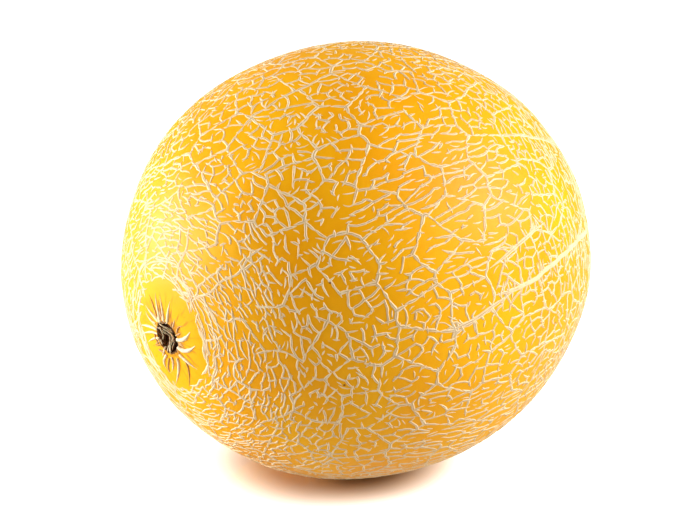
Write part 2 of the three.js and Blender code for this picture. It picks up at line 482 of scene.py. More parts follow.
    def borders(self) -> Iterator[tuple[int, int, int, int]]:
        """Go through the borders, each once.

        Returns:
            The seeds of its two cells, and the corners at its start and at its end.
        """
        for cell in self.cells:
            for other, start, end in zip(cell.neighbours, cell.faces, cell.faces[1:] + cell.faces[:1]):
                if cell.index < other:
                    yield cell.index, other, start, end

    def is_gap(self, i: int, j: int) -> bool:
        """Say whether the border between two cells of skin is left bare.

        Args:
            i: one cell's seed.
            j: the other's.

        Returns:
            Whether it is bare.
        """
        a, b = self.seeds[i], self.seeds[j]
        step = b.n - a.n
        runs_round = float(step @ self.rind.lengthwise_at(a.n)) ** 2 / float(step @ step)
        grain = self.rind.grain_at(a.n)
        against = runs_round if grain > 1 else 1 - runs_round
        strength = min(1, abs(grain - 1) * 3)
        return chance_of(i, j, 1) < self.gaps_anywhere + self.gaps_against_grain * strength * against

    def middle_of(self, i: int, j: int, start: int, end: int) -> Array:
        """Return the bent middle of the border between two cells.

        Args:
            i: one cell's seed.
            j: the other's.
            start: the corner at which the border starts.
            end: the corner at which it ends.

        Returns:
            A unit direction.
        """
        a, b = self.seeds[min(i, j)].n, self.seeds[max(i, j)].n
        across = b - a
        half = float(np.linalg.norm(across)) / 2
        corner = self.corners[start]
        gap = float(np.linalg.norm(corner - a))
        slack = self.cord_inset / self.rind.mean_radius * half / gap * self.cord_bend
        n = unit(corner + self.corners[end])
        return unit(n + unit(across) * slack * (chance_of(i, j, 3) - 0.5))

    def centre_shift(self) -> Array:
        """Find where the ellipsoid's centre lies in the part's frame.

        The part's origin is under the middle of its box, whose sides touch the raised cords.

        Returns:
            The centre's place in millimetres.
        """
        low, high = self.cord_height
        kinds = (CellKind.SKIN, CellKind.SUTURE)
        raised = [border for border in self.borders() if self.seeds[border[1]].kind in kinds]
        middles = [self.middle_of(*border) for border in raised]
        points = self.rind.points_at(np.vstack([self.corners, middles]), (low + high) / 2)
        middle = (points.min(0) + points.max(0)) / 2
        return np.array([-middle[0], -middle[1], -self.rind.rest_height])


@dataclass
class NetGrowth:
    """Grows every cord of the net: the web's borders, then finer cords and threads inside the cells."""

    web: Web
    seed: int = 5
    spot_area: float = 15.0
    spot_gap: float = 2.6
    spot_margin: float = 1.0
    finer_ends: Pair = (0.38, 0.26)
    fine_grain: float = 1.6
    steps: Pair = (1.12, 1.1)
    wobble: float = 0.13
    end_taper: float = 2.3
    suture_taper: float = 4
    joint_reach: float = 0.3
    joint_share: float = 0.7
    stroke_length: float = 4.0
    stroke_overlap: Pair = (-0.3, 0.9)
    stroke_stray: float = 0.19
    overshoot_share: float = 0.5
    overshoot: Pair = (0.6, 1.6)
    missing_share: float = 0.18
    dangling_share: float = 0.4
    thread_area: float = 11.0
    thread_length: Pair = (1.6, 4.4)
    thread_gap: float = 0.8
    spur_share: float = 0.3
    width_spread: Pair = (0.8, 1.2)
    strong_sutures: tuple[int, ...] = (0, 5, 8)
    rung_share: float = 0.3
    rung_length: Pair = (2.0, 5.0)
    shortest_border: float = 0.8
    shortest_branch: float = 1.2
    stem_narrowing: float = 0.2
    bare_degrees: float = 12.0
    bare_bulges: tuple[Triple, ...] = ((283, 3.4, 46), (90, 3.0, 34))
    wreath_strokes: int = 46
    wreath_reach: Pair = (9, 25)
    wreath_depth: float = 5.5
    stem_sutures: tuple[Triple, ...] = (
        (228, 14.5, 39), (262, 15, 30), (300, 15.5, 34), (150, 15, 27), (75, 16, 33), (15, 15.5, 31),
    )
    plain_cords: tuple[tuple[Pair, ...], ...] = (
        ((70.8, 185.2), (73.0, 182.6), (78.0, 183.4), (83.1, 185.1), (90.0, 186.8)),
        ((84.7, 194.8), (88.6, 195.8), (94.0, 197.4), (100.1, 198.8), (105.7, 199.6)),
    )
    cords: list[Cord] = field(default_factory=list)

    def grow(self) -> list[Cord]:
        """Grow the whole net.

        Returns:
            The cords, heaviest first.
        """
        self.random = RandomSource(self.seed)
        self.grow_sutures()
        self.grow_stem_sutures()
        self.grow_plain_cords()
        self.grow_wreath()
        for border in self.web.borders():
            self.grow_border(*border)
        for cell in self.web.cells:
            if self.web.seeds[cell.index].kind in (CellKind.SKIN, CellKind.SUTURE, CellKind.SCAR):
                self.fill_cell(cell)
        return self.cords

    def lay(self, level: CordLevel, n: Array, width: float, tapers: tuple[bool, bool]) -> None:
        """Add one cord.

        Args:
            level: how heavy it is.
            n: unit directions along its middle.
            width: its full width in millimetres.
            tapers: whether its start and its end run out to a point.
        """
        radius = self.web.rind.mean_radius
        colatitude, longitude = self.web.rind.place_of(n[len(n) // 2])
        if colatitude < self.bare_edge(longitude):
            return
        run = run_along(n) * radius
        phase = self.random() * FULL_TURN
        half = width / 2 * (1 + 0.1 * np.sin(run * 1.5 + phase) + 0.07 * np.sin(run * 3.7 + 2 * phase))
        half = half * (1 - self.stem_narrowing * (1 - smooth(colatitude, 25, 55)))
        taper = min(self.end_taper * (self.suture_taper if level is CordLevel.SUTURE else 1), run[-1] * 0.55)
        from_end = [run, run[-1] - run]
        for distance, tapered in zip(from_end, tapers):
            if tapered:
                half = half * np.clip((distance + 0.12) / taper, 0.08, 1) ** 0.75
        if not tapers[0]:
            n = np.vstack([unit(n[0] + unit(n[0] - n[1]) * self.joint_reach / radius), n])
            half = np.concatenate([[half[0] * self.joint_share], half])
        if not tapers[1]:
            n = np.vstack([n, unit(n[-1] + unit(n[-1] - n[-2]) * self.joint_reach / radius)])
            half = np.concatenate([half, [half[-1] * self.joint_share]])
        self.cords.append(Cord(level, n, half, self.random()))

    def width_of(self, level: CordLevel) -> float:
        """Draw the full width of a cord of a level, in millimetres."""
        return level.value * self.random.between(*self.width_spread)

    def overshot(self, points: Array) -> tuple[Array, tuple[bool, bool]]:
        """Lengthen some ends of a flat path past the junctions that they lead to.

        Args:
            points: the path's points in millimetres.

        Returns:
            The new points, and whether each end now runs out to a point.
        """
        tapers = []
        for end, before in ((0, 1), (-1, -2)):
            past = self.random() < self.overshoot_share
            tapers.append(past)
            if past:
                out = unit(points[end] - points[before]) * self.random.between(*self.overshoot)
                extra = [points[end] + out]
                points = np.vstack([extra, points] if end == 0 else [points, extra])
        return points, (tapers[0], tapers[1])

    def strokes_along(self, path: Array) -> list[tuple[Array, tuple[bool, bool]]]:
        """Cut a flat path into strokes that overlap and stray a little from its line.

        Args:
            path: the path's points in millimetres.

        Returns:
            Each stroke's points, and whether its two ends run out to a point.
        """
        path, ends = self.overshot(path)
        run = run_along(path)
        count = max(1, round(run[-1] / self.stroke_length * self.random.between(0.8, 1.25)))
        strokes = []
        for k in range(count):
            start = max(0.0, run[-1] * k / count - self.random.between(*self.stroke_overlap))
            end = min(run[-1], run[-1] * (k + 1) / count + self.random.between(*self.stroke_overlap))
            points = points_along(path, run, np.linspace(start, end, 7))
            turn = self.random.between(-self.stroke_stray, self.stroke_stray) if count > 1 else 0.0
            cosine, sine = math.cos(turn), math.sin(turn)
            middle = points.mean(0)
            x, y = (points - middle).T
            points = middle + np.c_[x * cosine - y * sine, x * sine + y * cosine]
            strokes.append((points, (ends[0] if k == 0 else True, ends[1] if k == count - 1 else True)))
        return strokes

    def trace(self, points: Array, step: float) -> Array:
        """Resample a flat path and give it an uneven run that leaves its ends in place.

        Args:
            points: the path's points in millimetres, in the plane of its cell.
            step: the distance between the new points in millimetres.

        Returns:
            The new points.
        """
        run = run_along(points)
        count = max(4, int(round(run[-1] / step)) + 1)
        s = np.linspace(0, run[-1], count)
        path = points_along(points, run, s)
        tangent = np.gradient(path, axis=0)
        sideways = unit(np.c_[-tangent[:, 1], tangent[:, 0]] + 1e-9)
        phases = [self.random() * FULL_TURN for _ in range(2)]
        swing = sum(np.sin(s * k + p) for k, p in zip((0.9, 1.9), phases)) / 1.5
        window = np.maximum(0, np.sin(math.pi * s / run[-1])) ** 0.6
        return path + sideways * (swing * window * self.wobble)[:, None]

    def frame_at(self, n: Array) -> tuple[Array, Array]:
        """Return the flat axes at n: along the melon, and round it."""
        along = self.web.rind.lengthwise_at(n)
        return along, np.cross(n, along)

    def flatten(self, n: Array, points: Array) -> Array:
        """Lay directions out flat.

        Args:
            n: the direction at which the plane touches the melon.
            points: unit directions near it.

        Returns:
            Their places in the plane, in millimetres.
        """
        along, around = self.frame_at(n)
        scale = self.web.rind.mean_radius / (points @ n)
        return np.c_[(points @ along) * scale, (points @ around) * scale]

    def unflatten(self, n: Array, points: Array) -> Array:
        """Bend flat points back onto the melon.

        Args:
            n: the direction at which the plane touches the melon.
            points: places in the plane, in millimetres.

        Returns:
            Unit directions.
        """
        along, around = self.frame_at(n)
        radius = self.web.rind.mean_radius
        return unit(n + points[:, :1] / radius * along + points[:, 1:] / radius * around)

    def is_suture(self, i: int, j: int) -> bool:
        """Say whether the border between two cells is part of a suture."""
        a, b = self.web.seeds[i], self.web.seeds[j]
        return a.kind == b.kind == CellKind.SUTURE and a.suture == b.suture and a.side != b.side

    def grow_sutures(self) -> None:
        """Grow the long plain cords on the borders between paired rows of cells."""
        web = self.web
        chains: dict[int, list[Array]] = {}
        for i, j, start, end in web.borders():
            if self.is_suture(i, j):
                chain = chains.setdefault(web.seeds[i].suture, [])
                chain.extend([web.corners[start], web.middle_of(i, j, start, end), web.corners[end]])
        for suture, chain in chains.items():
            n = np.array(sorted(chain, key=lambda point: -float(point @ web.rind.pole)))
            n = n[np.concatenate([[True], np.linalg.norm(np.diff(n, axis=0), axis=1) > 0.004])]
            for _ in range(2):
                n[1:-1] = unit(n[:-2] + 2 * n[1:-1] + n[2:])
            run = run_along(n)
            s = np.linspace(0, run[-1], int(run[-1] * web.rind.mean_radius / self.steps[1]))
            n = unit(points_along(n, run, s))
            if suture in self.strong_sutures:
                self.lay(CordLevel.SUTURE, n, CordLevel.SUTURE.value, (True, True))
                self.grow_rungs(n)
            else:
                for start in range(0, len(n) - 4, 4):
                    stroke = n[max(0, start - 1) : start + 6]
                    self.lay(CordLevel.BORDER, stroke, CordLevel.BORDER.value * 1.1, (True, True))

    def grow_rungs(self, n: Array) -> None:
        """Grow short side branches from both sides of a long plain cord.

        Args:
            n: unit directions along the cord.
        """
        radius = self.web.rind.mean_radius
        for k in range(2, len(n) - 2):
            for side in (-1, 1):
                if self.random() < self.rung_share:
                    tangent = unit(n[k + 1] - n[k - 1])
                    across = np.cross(n[k], tangent) * side
                    way = unit(across + tangent * self.random.between(-0.7, 0.7))
                    reach = self.random.between(*self.rung_length) / radius
                    bow = self.random.between(-0.12, 0.12) * reach
                    path = unit(bowed(n[k], way * reach, tangent * bow, 5))
                    width = self.width_of(CordLevel.BRANCH)
                    self.lay(CordLevel.BRANCH, path, width, (False, True))

    def grow_stem_sutures(self) -> None:
        """Grow the plain cords that run along the melon a little way from the bare ring."""
        for longitude, start, end in self.stem_sutures:
            colatitude = np.arange(start, end, 0.62)
            phase = self.random() * FULL_TURN
            sway = 0.9 * np.sin(colatitude * 0.21 + phase) + 0.45 * np.sin(colatitude * 0.67 + 2 * phase)
            n = self.web.rind.direction_at(colatitude, longitude + sway / np.sin(np.radians(colatitude)))
            self.lay(CordLevel.BORDER, n, 1.1, (True, True))

    def grow_plain_cords(self) -> None:
        """Grow the short plain cords with side branches beside the main suture."""
        for places in self.plain_cords:
            colatitude, longitude = np.array(places).T
            c = np.arange(colatitude[0], colatitude[-1], 0.8)
            n = self.web.rind.direction_at(c, np.interp(c, colatitude, longitude))
            self.lay(CordLevel.SUTURE, n, CordLevel.SUTURE.value * 0.8, (True, True))
            self.grow_rungs(n)

    def bare_edge(self, longitude: Array | float) -> Array | float:
        """Return where the net starts.

        Args:
            longitude: degrees about the stem pole.

        Returns:
            Degrees from the stem pole.
        """
        edge = self.bare_degrees + 0 * longitude
        for middle, height, reach in self.bare_bulges:
            away = (longitude - middle + 180) % 360 - 180
            edge = edge + height * np.exp(-((away / reach) ** 2))
        return edge

    def grow_wreath(self) -> None:
        """Grow curved strokes side by side round the edge of the bare skin at the stem."""
        for _ in range(self.wreath_strokes):
            middle = self.random.between(0, 360)
            out = 0.15 + self.wreath_depth * self.random() ** 1.4
            longitude = middle + np.linspace(-1, 1, 11) * self.random.between(*self.wreath_reach)
            t = np.linspace(-1, 1, 11)
            sway = 0.28 * np.sin(t * 4 + self.random() * FULL_TURN) + self.random.between(-1.0, 1.0) * t
            n = self.web.rind.direction_at(self.bare_edge(longitude) + out + sway, longitude)
            width = self.width_of(CordLevel.BRANCH)
            self.lay(CordLevel.BRANCH, n, width, (True, True))

    def grow_border(self, i: int, j: int, start: int, end: int) -> None:
        """Grow the cord on the border between two cells, or two stubs where the border is bare.

        Args:
            i: one cell's seed.
            j: the other's.
            start: the corner at which the border starts.
            end: the corner at which it ends.
        """
        web = self.web
        kinds = {web.seeds[i].kind, web.seeds[j].kind}
        if CellKind.PIT in kinds or kinds == {CellKind.STRAND} or self.is_suture(i, j):
            return
        middle = web.middle_of(i, j, start, end)
        flat = self.flatten(middle, np.array([web.corners[start], middle, web.corners[end]]))
        if np.linalg.norm(flat[2] - flat[0]) < self.shortest_border:
            return
        path = bent_through(*flat, 9)
        width = self.width_of(CordLevel.BORDER)
        if CellKind.STRAND in kinds:
            bare = chance_of(i, j, 1) >= web.bare_share
        elif CellKind.BUTTON in kinds or kinds == {CellKind.SCAR}:
            bare = False
        else:
            bare = web.is_gap(i, j)
        if not bare:
            for stroke, tapers in self.strokes_along(path):
                line = self.unflatten(middle, self.trace(stroke, self.steps[0]))
                self.lay(CordLevel.BORDER, line, width, tapers)
            return
        path = self.trace(path, self.steps[0])
        for stub in (path, path[::-1]):
            length = int(len(stub) * self.random.between(0.15, 0.5))
            if length >= 3:
                self.lay(CordLevel.BRANCH, self.unflatten(middle, stub[:length]), width * 0.85, (False, True))

    def fineness_at(self, n: Array) -> float:
        """Return the size of the finer cells at a direction.

        Args:
            n: one unit direction.

        Returns:
            The size against the usual one.
        """
        colatitude, _ = self.web.rind.place_of(n)
        near, far = self.finer_ends
        return float(1 - near * (1 - smooth(colatitude, 30, 56)) - far * smooth(colatitude, 90, 114))

    def fill_cell(self, cell: Cell) -> None:
        """Divide a cell by finer cords round scattered spots, and lay loose threads in what is left.

        Args:
            cell: the cell.
        """
        web = self.web
        n = web.seeds[cell.index].n
        grain = web.rind.grain_at(n)
        size = self.fineness_at(n)
        outline = []
        for k, face in enumerate(cell.faces):
            after = cell.faces[(k + 1) % len(cell.faces)]
            outline += [web.corners[face], web.middle_of(cell.index, cell.neighbours[k], face, after)]
        outline = self.flatten(n, np.array(outline + outline[:1]))
        stretch = np.array([grain**self.fine_grain, grain**-self.fine_grain])
        polygon = outline[:-1:2] / stretch
        spots = self.scatter_spots(polygon, size)
        taken = [stations_of(outline, 0.6)]
        for i in range(len(spots)):
            for j in range(i):
                ends = border_between(spots, i, j, polygon)
                if ends is not None and self.random() > self.missing_share:
                    path = self.grow_branch(n, ends * stretch)
                    if path is not None:
                        taken.append(path)
        self.scatter_threads(n, polygon * stretch, grain, np.vstack(taken))

    def scatter_spots(self, polygon: Array, size: float) -> Array:
        """Scatter spots inside a flat polygon, none too near another.

        Args:
            polygon: its corners, anticlockwise.
            size: the size of the cells here, against the usual one.

        Returns:
            The spots.
        """
        wanted = area_of(polygon) / (self.spot_area * size**2)
        low, high = polygon.min(0), polygon.max(0)
        spots: list[Array] = []
        for _ in range(90):
            spot = low + (high - low) * np.array([self.random(), self.random()])
            if len(spots) < wanted and room_inside(polygon, spot) > self.spot_margin * size:
                if all(np.linalg.norm(spot - other) > self.spot_gap * size for other in spots):
                    spots.append(spot)
        return np.array(spots)

    def grow_branch(self, n: Array, ends: Array) -> Array | None:
        """Grow a finer cord between two flat points, sometimes only part of the way.

        Args:
            n: the direction at which the plane touches the melon.
            ends: its two ends in millimetres.

        Returns:
            Its points, or None if it is too short.
        """
        gap = ends[1] - ends[0]
        length = float(np.linalg.norm(gap))
        if length < self.shortest_branch:
            return None
        sideways = np.array([-gap[1], gap[0]]) / length
        bow = self.random.between(-0.12, 0.12) * length
        count = max(4, int(length / self.shortest_branch))
        path, tapers = self.overshot(bowed(ends[0], gap, sideways * bow, count))
        path = self.trace(path, self.steps[1])
        if self.random() < self.dangling_share:
            if self.random() < 0.5:
                path, tapers = path[::-1], tapers[::-1]
            tapers = (tapers[0], True)
            path = path[: max(3, int(len(path) * self.random.between(0.45, 0.8)))]
        width = self.width_of(CordLevel.BRANCH)
        self.lay(CordLevel.BRANCH, self.unflatten(n, path), width, tapers)
        return path

    def scatter_threads(self, n: Array, polygon: Array, grain: float, taken: Array) -> None:
        """Lay short threads in a flat polygon: spurs on the cords, and loose ones that follow the grain.

        Args:
            n: the direction at which the plane touches the melon.
            polygon: its corners in millimetres, anticlockwise.
            grain: how much longer cells are along the melon than round it.
            taken: points on the cords in and round it.
        """
        wanted = area_of(polygon) / self.thread_area
        low, high = polygon.min(0), polygon.max(0)
        lean = 0.0 if grain > 1 else math.pi / 2
        spread = math.pi / 2 - min(1.0, abs(grain - 1) * 4)
        cords = taken
        laid = 0
        for _ in range(int(wanted * 5)):
            length = self.random.between(*self.thread_length)
            spur = self.random() < self.spur_share
            if spur:
                k = int(self.random() * (len(cords) - 1))
                start = cords[k]
                edge = cords[k + 1] - start
                angle = math.atan2(edge[0], -edge[1]) + self.random.between(-0.8, 0.8)
            else:
                start = low + (high - low) * np.array([self.random(), self.random()])
                angle = lean + self.random.between(-spread, spread)
            angle += math.pi if self.random() < 0.5 else 0
            way = np.array([math.cos(angle), math.sin(angle)])
            bow = self.random.between(-0.15, 0.15) * length
            path = bowed(start, way * length, np.array([-way[1], way[0]]) * bow, 4)
            free = path[1:] if spur else path
            apart = np.linalg.norm(free[:, None] - taken[None], axis=2).min()
            if laid >= wanted or apart < self.thread_gap or room_inside(polygon, path[-1]) < 0:
                continue
            taken = np.vstack([taken, path])
            laid += 1
            share = min(1, 0.6 + length / 6)
            width = self.width_of(CordLevel.THREAD) * share
            self.lay(CordLevel.THREAD, self.unflatten(n, path), width, (True, True))


def area_of(polygon: Array) -> float:
    """Return the area of a flat polygon."""
    x, y = polygon.T
    return abs(float(x @ np.roll(y, -1) - y @ np.roll(x, -1))) / 2


def room_inside(polygon: Array, point: Array) -> float:
    """Return how far a point is inside a flat, nearly convex polygon.

    Args:
        polygon: its corners, anticlockwise.
        point: the point.

    Returns:
        The distance to the nearest side, less than 0 if the point is outside.
    """
    edge = np.roll(polygon, -1, axis=0) - polygon
    step = point - polygon
    turn = edge[:, 0] * step[:, 1] - edge[:, 1] * step[:, 0]
    return float((turn / np.linalg.norm(edge, axis=1)).min())


def stations_of(points: Array, step: float) -> Array:
    """Return evenly spaced points along a flat path."""
    run = run_along(points)
    return points_along(points, run, np.linspace(0, run[-1], int(run[-1] / step) + 2))


def border_between(spots: Array, i: int, j: int, polygon: Array) -> Array | None:
    """Return the border between the regions nearest to two spots.

    Args:
        spots: all the spots in the polygon.
        i: one of the two.
        j: the other.
        polygon: the corners of the polygon, anticlockwise.

    Returns:
        The two ends of the border, or None if the regions don't touch.
    """
    a, b = spots[i], spots[j]
    middle = (a + b) / 2
    way = unit(np.array([a[1] - b[1], b[0] - a[0]]))
    limits = []
    for k, other in enumerate(spots):
        if k not in (i, j):
            step = other - a
            limits.append((way @ step, (other @ other - a @ a) / 2 - middle @ step))
    edge = np.roll(polygon, -1, axis=0) - polygon
    turn = edge[:, 0] * way[1] - edge[:, 1] * way[0]
    room = edge[:, 0] * (middle - polygon)[:, 1] - edge[:, 1] * (middle - polygon)[:, 0]
    limits.extend(zip(-turn, room))
    low, high = -FAR, FAR
    for lean, reach in limits:
        if lean > HAIR:
            high = min(high, reach / lean)
        elif lean < -HAIR:
            low = max(low, reach / lean)
    if high - low < SHORTEST_LINE:
        return None
    return np.array([middle + way * low, middle + way * high])


class NodeSheet:
    """Adds nodes to one node tree. An input is given a value, or a socket or node to link to it."""

    def __init__(self, tree: bpy.types.NodeTree) -> None:
        """Start with the tree's own nodes taken off."""
        self.tree = tree
        tree.nodes.clear()

    def add(self, kind: str, inputs: dict | None = None, **settings: object) -> bpy.types.Node:
        """Add a node.

        Args:
            kind: its Blender type.
            inputs: a value, an output socket or a node for each input, by name or number. A node
                stands for its first output.
            settings: its own properties.

        Returns:
            The node.
        """
        node = self.tree.nodes.new(kind)
        for name, value in settings.items():
            setattr(node, name, value)
        for name, value in (inputs or {}).items():
            if isinstance(value, bpy.types.Node):
                value = value.outputs[0]
            if isinstance(value, Socket):
                self.tree.links.new(value, node.inputs[name])
            else:
                node.inputs[name].default_value = value
        return node

    def math(self, operation: str, *values: object) -> Socket:
        """Add a math node and return its output."""
        return self.add("ShaderNodeMath", dict(enumerate(values)), operation=operation).outputs[0]

    def mix(self, share: object, low: object, high: object) -> Socket:
        """Mix two colours and return the result."""
        node = self.add("ShaderNodeMix", {0: share, 6: low, 7: high}, data_type="RGBA")
        return node.outputs[2]

    def ramp(self, value: Socket, low: float, high: float) -> Socket:
        """Return a smooth step of a value, from 0 at low to 1 at high."""
        inputs = {0: value, 1: low, 2: high}
        return self.add("ShaderNodeMapRange", inputs, interpolation_type="SMOOTHSTEP").outputs[0]

    def noise(self, place: Socket, scale: float | Socket, detail: float = 3.0) -> Socket:
        """Return a noise over a place, about 0 to 1."""
        inputs = {"Vector": place, "Scale": scale, "Detail": detail}
        return self.add("ShaderNodeTexNoise", inputs).outputs[0]

    def distance(self, place: Socket, point: tuple[float, ...]) -> Socket:
        """Return the distance of a place from a point."""
        node = self.add("ShaderNodeVectorMath", {0: place, 1: point}, operation="DISTANCE")
        return node.outputs["Value"]

    def attribute(self, name: str, output: str = "Fac") -> Socket:
        """Return one of the piece's own attributes."""
        return self.add("ShaderNodeAttribute", attribute_name=name).outputs[output]

    def bump(self, height: Socket, strength: float, distance: float) -> Socket:
        """Return the normal of a surface that is bumped by a height."""
        inputs = {"Strength": strength, "Distance": distance, "Height": height}
        return self.add("ShaderNodeBump", inputs).outputs[0]


def node_group(name: str, kind: str, inputs: dict[str, str], outputs: dict[str, str]) -> tuple:
    """Start a node group.

    Args:
        name: its name.
        kind: its Blender type.
        inputs: the kind of each input, by name.
        outputs: the kind of each output, by name.

    Returns:
        Its sheet, its input sockets by name, and its output node's sockets by name.
    """
    tree = bpy.data.node_groups.new(name, kind)
    for way, sockets in (("INPUT", inputs), ("OUTPUT", outputs)):
        for socket, value in sockets.items():
            tree.interface.new_socket(socket, in_out=way, socket_type="NodeSocket" + value)
    sheet = NodeSheet(tree)
    return sheet, sheet.add("NodeGroupInput").outputs, sheet.add("NodeGroupOutput").inputs


def make_mottle_group() -> None:
    """Make the shared group of broad uneven patches and fine speckles over a place."""
    inputs = {"Place": "Vector", "Patch Scale": "Float", "Speckle Scale": "Float"}
    outputs = {"Patches": "Float", "Speckles": "Float"}
    sheet, given, result = node_group("mottle", "ShaderNodeTree", inputs, outputs)
    patches = sheet.noise(given[0], given[1], 4.0)
    speckles = sheet.add("ShaderNodeTexVoronoi", {"Vector": given[0], "Scale": given[2]}).outputs[0]
    sheet.tree.links.new(sheet.ramp(patches, 0.3, 0.7), result[0])
    sheet.tree.links.new(sheet.ramp(speckles, 0.32, 0.1), result[1])


def make_fine_grain_group() -> None:
    """Make the shared group of a fine two-step grain for bump and roughness."""
    inputs = {"Place": "Vector", "Scale": "Float"}
    sheet, given, result = node_group("fine_grain", "ShaderNodeTree", inputs, {"Grain": "Float"})
    coarse = sheet.noise(given[0], given[1], 2.0)
    fine = sheet.noise(given[0], sheet.math("MULTIPLY", given[1], 3.7))
    total = sheet.math("MULTIPLY_ADD", fine, 0.5, sheet.math("MULTIPLY", coarse, 0.5))
    sheet.tree.links.new(total, result[0])


@dataclass(frozen=True)
class Finish:
    """A finish, made once as a material. The melon's own ones have one of the record's slots."""

    name: str
    roughness: float
    slot: str = ""
    grain_scale: float = 1000.0
    patch_scale: float = 100.0
    speckle_scale: float = 1000.0

    def start(self) -> tuple[Material, NodeSheet, Socket]:
        """Make an empty node material.

        Returns:
            The material, its sheet, and the socket of places over the piece.
        """
        material = bpy.data.materials.new(self.name)
        material.use_nodes = True
        sheet = NodeSheet(material.node_tree)
        return material, sheet, sheet.add("ShaderNodeTexCoord").outputs["Object"]

    def end(self, sheet: NodeSheet, inputs: dict) -> None:
        """Add the surface shader with its inputs, and the output."""
        shader = sheet.add("ShaderNodeBsdfPrincipled", inputs)
        sheet.add("ShaderNodeOutputMaterial", {"Surface": shader})

    def mottle(self, sheet: NodeSheet, place: Socket) -> tuple:
        """Add the shared mottle group, and return its patches and its speckles."""
        inputs = {"Place": place, "Patch Scale": self.patch_scale, "Speckle Scale": self.speckle_scale}
        return tuple(sheet.add("ShaderNodeGroup", inputs, node_tree=bpy.data.node_groups["mottle"]).outputs)

    def fine_grain(self, sheet: NodeSheet, place: Socket) -> Socket:
        """Add the shared fine_grain group, and return its grain."""
        inputs = {"Place": place, "Scale": self.grain_scale}
        return sheet.add("ShaderNodeGroup", inputs, node_tree=bpy.data.node_groups["fine_grain"]).outputs[0]

    def uneven(self, sheet: NodeSheet, mask: Socket, swing: float) -> Socket:
        """Return the finish's roughness, which a mask varies by a swing."""
        return sheet.math("MULTIPLY_ADD", mask, swing, self.roughness - swing / 2)


@dataclass(frozen=True)
class SkinFinish(Finish):
    """Waxy yellow-orange skin, stained brown along the bare ring round the stem."""

    name: str = "waxy_skin"
    roughness: float = 0.43
    slot: str = "rind"
    grain_scale: float = 900.0
    patch_scale: float = 22.0
    speckle_scale: float = 260.0
    deep: Colour = (0.80, 0.315, 0.001, 1)
    bright: Colour = (0.86, 0.41, 0.002, 1)
    stain: Colour = (0.42, 0.15, 0.014, 1)
    stain_reach: Pair = (19.0, 7.0)
    stain_ring: Pair = (8.6, 6.2)
    speck: Colour = (0.26, 0.065, 0.008, 1)
    specks: tuple[Speck, ...] = ()

    def make(self) -> Material:
        """Make the material.

        Returns:
            The material.
        """
        material, sheet, place = self.start()
        patches, speckles = self.mottle(sheet, place)
        grain = self.fine_grain(sheet, place)
        colour = sheet.mix(patches, self.deep, self.bright)
        colour = sheet.mix(sheet.math("MULTIPLY", speckles, 0.32), colour, self.bright)
        colour = sheet.mix(self.stains(sheet), colour, self.stain)
        colour = sheet.mix(self.spots(sheet, place), colour, self.speck)
        inputs = {
            "Base Color": colour,
            "Roughness": self.uneven(sheet, patches, 0.1),
            "Normal": sheet.bump(grain, strength=0.22, distance=0.00012),
            "IOR": 1.45,
            "Subsurface Weight": 0.12,
            "Subsurface Radius": (1.0, 0.45, 0.08),
            "Subsurface Scale": 0.0025,
            "Specular IOR Level": 0.13,
        }
        self.end(sheet, inputs)
        return material

    def stains(self, sheet: NodeSheet) -> Socket:
        """Add the nodes of the brown streaks that run out from the stem over the bare ring.

        Args:
            sheet: the material's sheet.

        Returns:
            Their mask.
        """
        around = sheet.attribute("stem_round", "Vector")
        away = sheet.attribute("stem_away")
        streaks = sheet.ramp(sheet.noise(around, 9.0, 4.0), 0.52, 0.66)
        fades = sheet.ramp(away, *self.stain_reach)
        ring = sheet.math("MULTIPLY", sheet.ramp(away, *self.stain_ring), 0.55)
        return sheet.math("MAXIMUM", sheet.math("MULTIPLY", streaks, fades), ring)

    def spots(self, sheet: NodeSheet, place: Socket) -> Socket:
        """Add the nodes of the small brown specks at their own places, and of scattered finer ones.

        Args:
            sheet: the material's sheet.
            place: the socket of places over the piece.

        Returns:
            Their mask.
        """
        cells = sheet.add("ShaderNodeTexVoronoi", {"Vector": place, "Scale": 42.0})
        number = sheet.add("ShaderNodeSeparateColor", {0: cells.outputs["Color"]}).outputs[0]
        lone = sheet.ramp(number, 0.80, 0.82)
        mask = sheet.math("MULTIPLY", sheet.ramp(cells.outputs["Distance"], 0.032, 0.012), lone)
        for x, y, z, size in self.specks:
            away = sheet.distance(place, (x, y, z))
            mask = sheet.math("MAXIMUM", mask, sheet.ramp(away, size, size * 0.45))
        return mask


